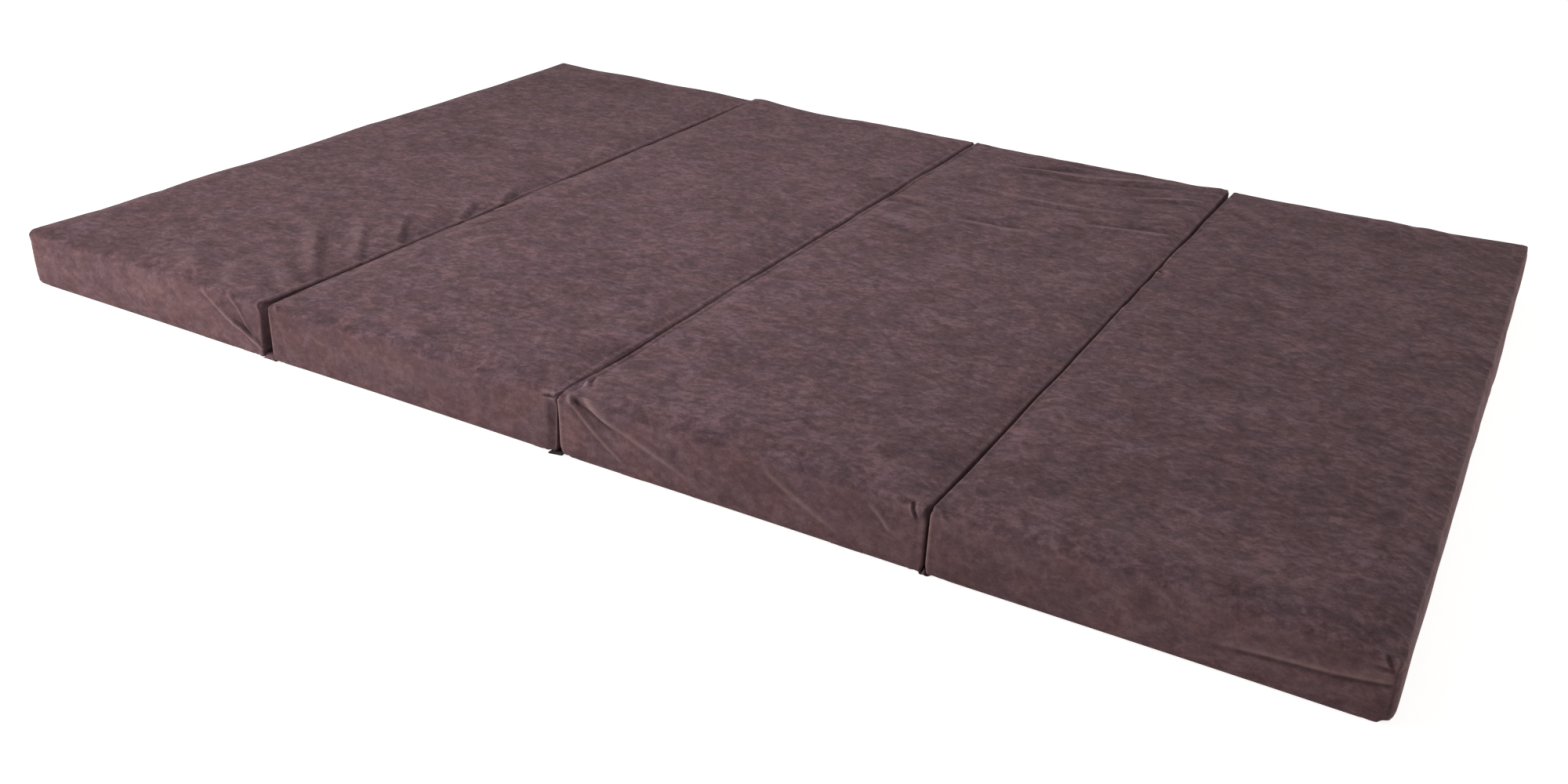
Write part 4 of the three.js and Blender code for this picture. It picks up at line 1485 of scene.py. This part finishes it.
@dataclass
class FoamCore:
    """The block of foam inside one cover.

    Attributes:
        number: which panel, from 1.
        inset: how far it stands inside the cover's own box on every side, in millimetres.
    """

    number: int
    inset: float = 9.0
    floor: float = 3.0
    corner_radius: float = 22.0
    voxel: float = 13.0

    def build(self, finishes: Finishes) -> bpy.types.Object:
        """Makes the block and dresses it."""
        node = f"panel_{self.number}_foam_core"
        low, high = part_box(f"panel_{self.number}_cover")
        inset = Vector((1, 1, 1)) * self.inset * MM
        low, high = low + inset, high - inset
        low.z = self.floor * MM
        bpy.ops.mesh.primitive_cube_add(size=1, location=(low + high) / 2)
        core = just_made(node + "_block", high - low)
        finished(core, "BEVEL", width=self.corner_radius * MM, segments=4)
        finished(core, "REMESH", mode="VOXEL", voxel_size=self.voxel * MM)
        cover = Cover(self.number)
        points = cover.to_panel(points_of(core))
        for each in PANEL_LIFTS[self.number]:
            points = each.raised(points, cover.start_top)
        move_points(core, cover.to_frame(points))
        shade_smooth(core, sharp_edges=True)
        dress(core, f"panel_{self.number}", "foam", finishes.foam, node)
        return core


@dataclass
class BaseCloth:
    """The woven cloth that closes one cover underneath.

    Attributes:
        number: which panel, from 1.
        lap: how far its edge runs in under the hem, in millimetres.
    """

    number: int
    lap: float = 0.6
    height: float = 1.1
    slack: float = 0.3
    slack_length: float = 120.0
    thickness: float = 0.5
    cell: float = 12.0
    seed: int = 700

    def build(self, finishes: Finishes) -> bpy.types.Object:
        """Makes the cloth and dresses it."""
        node = f"panel_{self.number}_base_cloth"
        low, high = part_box(node)
        size = high - low + Vector((2, 2, 0)) * self.lap * MM
        middle = (low + high) / 2
        bpy.ops.mesh.primitive_grid_add(
            x_subdivisions=round(size.x / (self.cell * MM)),
            y_subdivisions=round(size.y / (self.cell * MM)),
            size=1, location=(middle.x, middle.y, self.height * MM),
        )
        cloth = just_made(node + "_weave", (size.x, size.y, 1))
        points = points_of(cloth)
        points[:, 2] += self.slack * MM * drift(points / MM, self.slack_length, self.seed + self.number)
        points[:, 2] = np.clip(points[:, 2], self.thickness * MM, None)
        move_points(cloth, points)
        finished(cloth, "SOLIDIFY", thickness=self.thickness * MM, offset=0)
        shade_smooth(cloth, sharp_edges=True)
        dress(cloth, f"panel_{self.number}", "base_cloth", finishes.base_cloth, node)
        return cloth


@dataclass
class Stitching:
    """A row of sewing thread: short raised stitches, a little apart.

    Attributes:
        start: the first stitch, in metres.
        end: the last one.
        length: of one stitch, in millimetres.
        pitch: from one to the next, in millimetres.
        thickness: the thread's, in millimetres.
    """

    start: Vector
    end: Vector
    length: float = 3.2
    pitch: float = 4.2
    thickness: float = 0.55

    def build(self, name: str) -> bpy.types.Object:
        """Makes the row."""
        way = self.end - self.start
        turn = way.to_track_quat("X", "Z")
        bpy.ops.mesh.primitive_uv_sphere_add(
            segments=6, ring_count=4, radius=0.5, location=self.start, rotation=turn.to_euler(),
        )
        row = just_made(name, (self.length * MM, self.thickness * MM, self.thickness * MM))
        count = int(way.length / (self.pitch * MM)) + 1
        rolling_rows(row, way / (count - 1), count)
        shade_smooth(row)
        return row


@dataclass
class Zip:
    """The zip in the far end of one cover: coil, stops, slider, pull and the stitching of its slot.

    Its lengths are in millimetres.

    Attributes:
        number: which panel, from 1.
        tooth_offset: from the middle of the zip to the middle of a tooth.
        coil_margin: from the tape's end to the coil's.
        stitch_reach: from the middle of the zip to the stitching on either side.
        stitch_height: how far the stitching stands out from the tapes.
        weld: the distance at which two points of a casting are one.
    """

    number: int
    tooth_pitch: float = 1.5
    tooth_length: float = 3.6
    tooth_width: float = 1.15
    tooth_depth: float = 2.3
    tooth_offset: float = 0.55
    coil_margin: float = 3.0
    stop_length: float = 3.2
    stop_height: float = 6.4
    stop_depth: float = 2.8
    stop_rounding: float = 0.7
    stitch_reach: float = 10.4
    stitch_height: float = 0.9
    edge_rounding: float = 0.28
    weld: float = 0.01

    def __post_init__(self) -> None:
        """Reads the zip's place from the frame."""
        upper_low, upper_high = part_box(f"panel_{self.number}_zip_tape_upper")
        lower_low, lower_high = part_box(f"panel_{self.number}_zip_tape_lower")
        self.start = upper_low.x + self.coil_margin * MM
        self.end = upper_high.x - self.coil_margin * MM
        self.height = (lower_low.z + upper_high.z) / 2
        self.plane = (upper_low.y + upper_high.y) / 2
        self.body = f"panel_{self.number}"

    def coil(self, finishes: Finishes) -> bpy.types.Object:
        """Makes the teeth of both coils, closed on each other."""
        rows = []
        count = int((self.end - self.start) / (self.tooth_pitch * MM))
        for order, side in enumerate((-1, 1)):
            shift = order * self.tooth_pitch / 2 * MM
            bpy.ops.mesh.primitive_uv_sphere_add(
                segments=6, ring_count=4, radius=0.5,
                location=(self.start + shift, self.plane, self.height + side * self.tooth_offset * MM),
            )
            row = just_made("teeth", (self.tooth_width * MM, self.tooth_depth * MM, self.tooth_length * MM))
            rolling_rows(row, Vector((self.tooth_pitch * MM, 0, 0)), count)
            shade_smooth(row)
            rows.append(row)
        coil = joined(f"{self.body}_zip_coil", rows)
        dress(coil, self.body, "zip_tape", finishes.nylon)
        return coil

    def stops(self, finishes: Finishes) -> bpy.types.Object:
        """Makes the two metal stops that are pressed over the ends of the coil."""
        pieces = []
        for x in (self.start, self.end):
            bpy.ops.mesh.primitive_cube_add(size=1, location=(x, self.plane, self.height))
            stop = just_made("stop", (self.stop_length * MM, self.stop_depth * MM, self.stop_height * MM))
            finished(stop, "BEVEL", width=self.stop_rounding * MM, segments=3)
            pieces.append(stop)
        stops = joined(f"{self.body}_zip_stops", pieces)
        shade_smooth(stops, sharp_edges=True)
        dress(stops, self.body, "zip_metal", finishes.metal)
        return stops

    def casting(self, part: str, body: str, finishes: Finishes) -> bpy.types.Object:
        """Copies the slider or the pull with its edges rounded, as they come out of the mould."""
        node = f"panel_{self.number}_zip_{part}"
        casting = bpy.data.objects[node].copy()
        casting.data = bpy.data.objects[node].data.copy()
        casting.parent = None
        casting.matrix_world = Matrix.Identity(4)
        bpy.context.scene.collection.objects.link(casting)
        casting.name = node + "_casting"
        edit_faces(casting, np.ones(len(casting.data.polygons), bool),
                   lambda: bpy.ops.mesh.remove_doubles(threshold=self.weld * MM))
        finished(casting, "BEVEL", width=self.edge_rounding * MM, segments=2, limit_method="ANGLE",
                 angle_limit=math.radians(SHARP_ANGLE), use_clamp_overlap=True)
        shade_smooth(casting, sharp_edges=True)
        dress(casting, body, "zip_metal", finishes.metal, node)
        return casting

    def sewing(self, finishes: Finishes) -> bpy.types.Object:
        """Sews the cover's slot to the tapes."""
        front = self.plane + self.stitch_height * MM
        levels = [self.height + side * self.stitch_reach * MM for side in (-1, 1)]
        rows = [
            Stitching(Vector((self.start, front, level)), Vector((self.end, front, level))).build("row")
            for level in levels
        ]
        sewing = joined(f"{self.body}_zip_sewing", rows)
        dress(sewing, self.body, "velour", finishes.thread)
        return sewing

    def build(self, finishes: Finishes) -> None:
        """Makes every piece of the zip, and gives its tapes their weave."""
        self.coil(finishes)
        self.stops(finishes)
        self.sewing(finishes)
        self.casting("slider", f"slider_{self.number}", finishes)
        self.casting("pull", f"pull_{self.number}", finishes)
        for tape in ("upper", "lower"):
            node = bpy.data.objects[f"panel_{self.number}_zip_tape_{tape}"]
            node.data.materials.clear()
            node.data.materials.append(finishes.zip_tape)


@dataclass
class HemSewing:
    """The stitching that holds one base cloth to the hem round it.

    Attributes:
        number: which panel, from 1.
        outset: how far the row runs outside the cloth's edge, in millimetres.
    """

    number: int
    outset: float = 4.0
    height: float = 0.42

    def build(self, finishes: Finishes) -> bpy.types.Object:
        """Makes the four rows."""
        low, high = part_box(f"panel_{self.number}_base_cloth")
        out = self.outset * MM
        z = self.height * MM
        corners = [
            Vector((low.x - out, low.y - out, z)), Vector((high.x + out, low.y - out, z)),
            Vector((high.x + out, high.y + out, z)), Vector((low.x - out, high.y + out, z)),
        ]
        rows = [
            Stitching(start, end).build("row")
            for start, end in zip(corners, corners[1:] + corners[:1])
        ]
        sewing = joined(f"panel_{self.number}_hem_sewing", rows)
        dress(sewing, f"panel_{self.number}", "velour", finishes.thread)
        return sewing


@dataclass
class HingeStrip:
    """The band of velour that joins two covers at a fold. Its lengths are in millimetres.

    Attributes:
        number: which fold, from 1.
        half_width: of a band over the floor.
        floor: the height of a band over the floor.
        valley_half_width: of the band over the top.
        valley_depth: how far the band over the top goes down into the fold.
        crest: the height of the top edges that it joins.
        tuck_in: how far its two sewn edges are sunk into the covers.
        sewn_from: the share of its half width from which they sink.
        sewn_width: the share over which they do.
        top_lift: how far the rest of it lies on the covers.
        low_level: a CAD strip that lies lower than this joins bottom edges.
        near_reach: how far the band over the top runs on past the CAD strip's near end.
        foot_reach: the same for a band over the floor.
        foot_lap: how far its near end reaches under each cover beside the gap.
        foot_taper: the length over which it is bunched up.
        hump_inset: how far from the gap's walls the bunch starts to fall away.
        edge_rise: how far the edges of a band over the floor stand up.
        slack_rise: how high its middle wanders.
        turn_reach: how far on each side of the fold a band over the floor was to bend; not used.
    """

    number: int
    half_width: float = 16.0
    thickness: float = 0.6
    floor: float = 0.42
    valley_half_width: float = 12.0
    valley_depth: float = 10.0
    crest: float = 86.5
    ray_height: float = 200.0
    tuck_in: float = 0.7
    sewn_from: float = 0.78
    sewn_width: float = 0.22
    top_lift: float = 0.5
    low_level: float = 10.0
    near_reach: float = 7.0
    foot_reach: float = 7.0
    foot_lap: float = 3.0
    foot_neck: float = 5.0
    foot_taper: float = 14.0
    foot_rise: float = 11.0
    foot_front: float = 1.6
    hump_inset: float = 0.3
    hump_slope: float = 1.5
    edge_rise: float = 0.12
    edge_power: int = 4
    slack_rise: float = 0.25
    slack_length: float = 60.0
    seed: int = 40
    cell: float = 1.2
    cell_along: float = 12.0
    turn_reach: float = 5.0

    @property
    def node(self) -> str:
        """The name of the CAD node that the strip stands for."""
        return f"fold_{self.number}_hinge_strip"

    def band(self, half_width: float, height: float, reach: float) -> bpy.types.Object:
        """Makes a flat band over the fold.

        Args:
            half_width: in millimetres.
            height: above the floor, in millimetres.
            reach: how far it runs on past the CAD strip's near end, in millimetres.

        Returns:
            The band.
        """
        low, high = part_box(self.node)
        low.y -= reach * MM
        size = Vector((2 * half_width * MM, high.y - low.y, 1))
        bpy.ops.mesh.primitive_grid_add(
            x_subdivisions=round(2 * half_width / self.cell),
            y_subdivisions=round(size.y / (self.cell_along * MM)),
            size=1, location=((low.x + high.x) / 2, (low.y + high.y) / 2, height * MM),
        )
        return just_made(self.node + "_band", size)

    def over_the_floor(self) -> bpy.types.Object:
        """Makes a band that joins two bottom edges, and bunches up in the gap at its near end."""
        band = self.band(self.half_width, self.floor, self.foot_reach)
        low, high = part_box(self.node)
        middle = (low.x + high.x) / 2
        points = points_of(band)
        share = np.abs(points[:, 0] - middle) / (self.half_width * MM)
        slack = np.maximum(1 + drift(points / MM, self.slack_length, self.seed), 0)
        edges = self.edge_rise * share ** self.edge_power
        points[:, 2] += (edges + self.slack_rise * (1 - share) * slack) * MM
        left, right = (closing.foot[0] for closing in FOLD_CLOSINGS[self.number])
        end = points[:, 1].min()
        second = end + self.foot_front * MM
        row = points[:, 1] - end
        first_cell = np.unique(np.round(row, 6))[1]
        points[:, 1] = np.where(np.abs(row - first_cell) < first_cell / 2, second, points[:, 1])
        taper = 1 - smooth_step((points[:, 1] - end) / (self.foot_taper * MM))
        half_gap = (left + right) / 2
        neck = 1 - smooth_step((points[:, 1] - end) / (self.foot_neck * MM))
        width = 1 - neck * (1 - (half_gap + self.foot_lap) / self.half_width)
        points[:, 0] = middle + (points[:, 0] - middle) * width + taper * (right - left) / 2 * MM
        beyond = share * self.half_width * width - half_gap
        hump = 1 - smooth_step((beyond + self.hump_inset) / self.hump_slope)
        front = smooth_step((points[:, 1] - end) / (self.foot_front * MM))
        points[:, 2] += self.foot_rise * MM * hump * taper * front
        move_points(band, points)
        return band

    def over_the_top(self, covers: Sequence[bpy.types.Object]) -> bpy.types.Object:
        """Makes a band that follows the two top edges down into the fold between them.

        Args:
            covers: the two finished covers.

        Returns:
            The band.
        """
        band = self.band(self.valley_half_width, 0, self.near_reach)
        trees = [BVHTree.FromObject(cover, bpy.context.evaluated_depsgraph_get()) for cover in covers]
        points = points_of(band)
        down = Vector((0, 0, -1))
        above = self.ray_height * MM
        valley = self.crest * MM - self.valley_depth * MM
        for point in points:
            hits = [tree.ray_cast(Vector((point[0], point[1], above)), down)[0] for tree in trees]
            top = max((hit.z for hit in hits if hit), default=0)
            point[2] = max(top, valley)
        share = np.abs(points[:, 0]) / (self.valley_half_width * MM)
        sunk = smooth_step((share - self.sewn_from) / self.sewn_width)
        points[:, 2] += (self.top_lift - (self.top_lift + self.tuck_in) * sunk) * MM
        move_points(band, points)
        return band

    def build(self, covers: Sequence[bpy.types.Object], finishes: Finishes) -> bpy.types.Object:
        """Makes the strip and gives it its velour.

        Args:
            covers: the covers of the panels on its left and right.
            finishes: the bed's finishes.

        Returns:
            The strip.
        """
        low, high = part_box(self.node)
        top = low.z > self.low_level * MM
        strip = self.over_the_top(covers) if top else self.over_the_floor()
        finished(strip, "SOLIDIFY", thickness=self.thickness * MM, offset=0)
        finished(strip, "SUBSURF", levels=1, render_levels=1)
        shade_smooth(strip)
        strip.data.materials.clear()
        strip.data.materials.append(finishes.velour)
        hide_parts(self.node)
        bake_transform(strip)
        return strip


@dataclass
class LiningTabAndShadow:
    """A black tab at the foot of one fold, flat on the floor: partly the end of the lining's binding, partly
    painted shadow under the lifted corner of the cover beside it.

    Its lengths are in millimetres.

    Attributes:
        fold: which fold it lies at, from 1.
        left: where it starts, from the middle of the fold.
        right: where it ends.
        front: how far it comes out from under the covers' near ends.
        back: how far it runs in under them.
        slant: how much further back its right front corner lies.
    """

    fold: int
    left: float = -15.5
    right: float = 3.2
    front: float = 0.4
    back: float = 26.0
    thickness: float = 2.2
    height: float = 1.35
    slant: float = 4.0
    cell: float = 1.0

    def build(self, finishes: Finishes) -> bpy.types.Object:
        """Makes the tab and dresses it."""
        cover_low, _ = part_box(f"panel_{self.fold}_cover")
        fold_low, fold_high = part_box(f"fold_{self.fold}_hinge_strip")
        middle = (fold_low.x + fold_high.x) / 2
        width = self.right - self.left
        depth = self.front + self.back
        bpy.ops.mesh.primitive_grid_add(
            x_subdivisions=round(width / self.cell), y_subdivisions=round(depth / self.cell), size=1,
            location=(middle + (self.left + self.right) / 2 * MM,
                      cover_low.y + (self.back - self.front) / 2 * MM, self.height * MM),
        )
        tab = just_made(f"fold_{self.fold}_lining_tab_and_shadow", (width * MM, depth * MM, 1))
        points = points_of(tab)
        out = 1 - (points[:, 1] - points[:, 1].min()) / (depth * MM)
        along = ((points[:, 0] - middle) / MM - self.left) / width
        points[:, 1] += self.slant * MM * out * along
        move_points(tab, points)
        finished(tab, "SOLIDIFY", thickness=self.thickness * MM, offset=0)
        finished(tab, "BEVEL", width=self.thickness * MM / 3, segments=2)
        shade_smooth(tab, sharp_edges=True)
        dress(tab, f"panel_{self.fold}", "base_cloth", finishes.lining)
        return tab


# The studio


@dataclass(frozen=True)
class Lamp:
    """One soft lamp.

    Attributes:
        name: what it is called.
        place: where it hangs, in metres.
        aim: the point that it faces.
        sides: its length along the bed and across it, in metres.
        power: its power in watts.
        tint: its colour.
    """

    name: str
    place: tuple[float, float, float]
    aim: tuple[float, float, float]
    sides: tuple[float, float]
    power: float
    tint: str

    def hang(self) -> None:
        """Adds the lamp to the scene."""
        data = bpy.data.lights.new(self.name, "AREA")
        data.shape = "RECTANGLE"
        data.size, data.size_y = self.sides
        data.energy = self.power
        data.color = srgb(self.tint)[:3]
        lamp = bpy.data.objects.new(self.name, data)
        bpy.context.scene.collection.objects.link(lamp)
        lamp.location = self.place
        way = Vector(self.aim) - Vector(self.place)
        lamp.rotation_euler = way.to_track_quat("-Z", "Y").to_euler()


@dataclass(frozen=True)
class Studio:
    """A white floor, soft lamps, and the camera at the photograph's angle.

    Attributes:
        azimuth: how far round the bed the camera stands, in degrees.
        elevation: how far down it looks, in degrees.
        roll: how far it is tilted sideways, in degrees.
        focal_pixels: its focal length in the photograph's pixels.
        sensor_width: the width of the film that the lens is written for, in millimetres.
        floor_drop: how far below the bed the floor lies, in millimetres.
        floor_glow: what is added to it for the camera, up to white.
        room_light: the strength of the light from all round.
    """

    camera_place: tuple[float, float, float] = (1.0034, -1.9767, 0.9004)
    azimuth: float = 27.895
    elevation: float = 26.169
    roll: float = 2.779
    focal_pixels: float = 1880.1
    photo_width: float = 2000
    sensor_width: float = 36
    floor_size: float = 60
    floor_drop: float = 0.6
    floor_colour: str = "cfcdcb"
    floor_glow: float = 0.86
    room_light: float = 0.22
    room_tint: str = "fff8f5"
    lamps: tuple[Lamp, ...] = (
        Lamp("window", (-2.35, -2.45, 0.95), (-0.4, -0.4, 0.0), (1.0, 1.0), 72.5, "fff2ed"),
        Lamp("ceiling", (-0.22, -0.35, 1.45), (-0.22, -0.35, 0.0), (0.8, 2.4), 15.5, "fbf8ff"),
        Lamp("wall bounce", (2.9, 0.3, 0.3), (1.0, 0.1, 0.05), (0.9, 0.5), 19, "fff8ec"),
    )

    def camera(self) -> None:
        """Places the camera."""
        turn, tilt, roll = (math.radians(v) for v in (self.azimuth, self.elevation, self.roll))
        back = Vector((math.sin(turn) * math.cos(tilt), -math.cos(turn) * math.cos(tilt), math.sin(tilt)))
        level = Vector((0, 0, 1)).cross(back).normalized()
        upright = back.cross(level)
        right = level * math.cos(roll) + upright * math.sin(roll)
        up = upright * math.cos(roll) - level * math.sin(roll)
        data = bpy.data.cameras.new("camera")
        data.sensor_width = self.sensor_width
        data.lens = self.focal_pixels / self.photo_width * self.sensor_width
        data.clip_end = self.floor_size
        camera = bpy.data.objects.new("camera", data)
        bpy.context.scene.collection.objects.link(camera)
        axes = Matrix((right, up, back)).transposed().to_4x4()
        camera.matrix_world = Matrix.Translation(self.camera_place) @ axes
        bpy.context.scene.camera = camera

    def floor(self) -> None:
        """Lays a white floor that keeps the bed's shadow."""
        bpy.ops.mesh.primitive_plane_add(size=self.floor_size, location=(0, 0, -self.floor_drop * MM))
        floor = just_made("floor")
        material = bpy.data.materials.new("matt white painted floor")
        tree = cleared_tree(material)
        paint = add_node(tree, "BsdfDiffuse", {"Color": srgb(self.floor_colour)})
        rays = add_node(tree, "LightPath").outputs
        seen = add_node(tree, "Math", {"operation": "MAXIMUM"},
                        {0: rays["Is Camera Ray"], 1: rays["Is Glossy Ray"]})
        glow = add_node(tree, "Math", {"operation": "MULTIPLY", 1: self.floor_glow}, {0: seen})
        white = add_node(tree, "Emission", {}, {"Strength": glow})
        lit = add_node(tree, "AddShader", {}, {0: paint, 1: white})
        clear = add_node(tree, "BsdfTransparent")
        side = add_node(tree, "NewGeometry").outputs["Backfacing"]
        both = add_node(tree, "MixShader", {}, {0: side, 1: lit, 2: clear})
        add_node(tree, "OutputMaterial", {}, {"Surface": both})
        floor.data.materials.append(material)

    def world(self) -> None:
        """Gives the room its soft light, and a white background."""
        world = bpy.data.worlds.new("studio")
        bpy.context.scene.world = world
        tree = cleared_tree(world)
        rays = add_node(tree, "LightPath").outputs
        seen = add_node(tree, "Math", {"operation": "MAXIMUM"},
                        {0: rays["Is Camera Ray"], 1: rays["Is Glossy Ray"]})
        seen = add_node(tree, "Math", {"operation": "MAXIMUM"}, {0: seen, 1: rays["Is Transmission Ray"]})
        tint = add_node(tree, "Mix", {
            "data_type": "RGBA", 6: srgb(self.room_tint), 7: srgb("ffffff"),
        }, {0: seen})
        strength = add_node(tree, "MapRange", {"To Min": self.room_light, "To Max": 1.0}, {"Value": seen})
        background = add_node(tree, "Background", {}, {"Color": tint.outputs[2], "Strength": strength})
        add_node(tree, "OutputWorld", {}, {"Surface": background})

    def build(self) -> None:
        """Builds the studio."""
        bpy.context.scene.view_settings.view_transform = "Standard"
        self.camera()
        self.floor()
        self.world()
        for lamp in self.lamps:
            lamp.hang()


def main() -> None:
    """Builds the bed around its frame."""
    logging.basicConfig(level=logging.INFO, format="%(message)s")
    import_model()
    Studio().build()
    finishes = Finishes.mixed()
    covers = [(cover, cover.block()) for cover in map(Cover, range(1, PANEL_COUNT + 1))]
    fill_with_pressure(covers)
    for cover, block in covers:
        cover.finish(block, finishes)
    for number in range(1, PANEL_COUNT + 1):
        FoamCore(number).build(finishes)
        BaseCloth(number).build(finishes)
        HemSewing(number).build(finishes)
        Zip(number).build(finishes)
    for number in range(1, PANEL_COUNT):
        HingeStrip(number).build([block for _, block in covers[number - 1:number + 1]], finishes)
    # A black tab that is partly painted shadow at the foot of fold 2.
    LiningTabAndShadow(2).build(finishes)


if __name__ == "__main__":
    main()
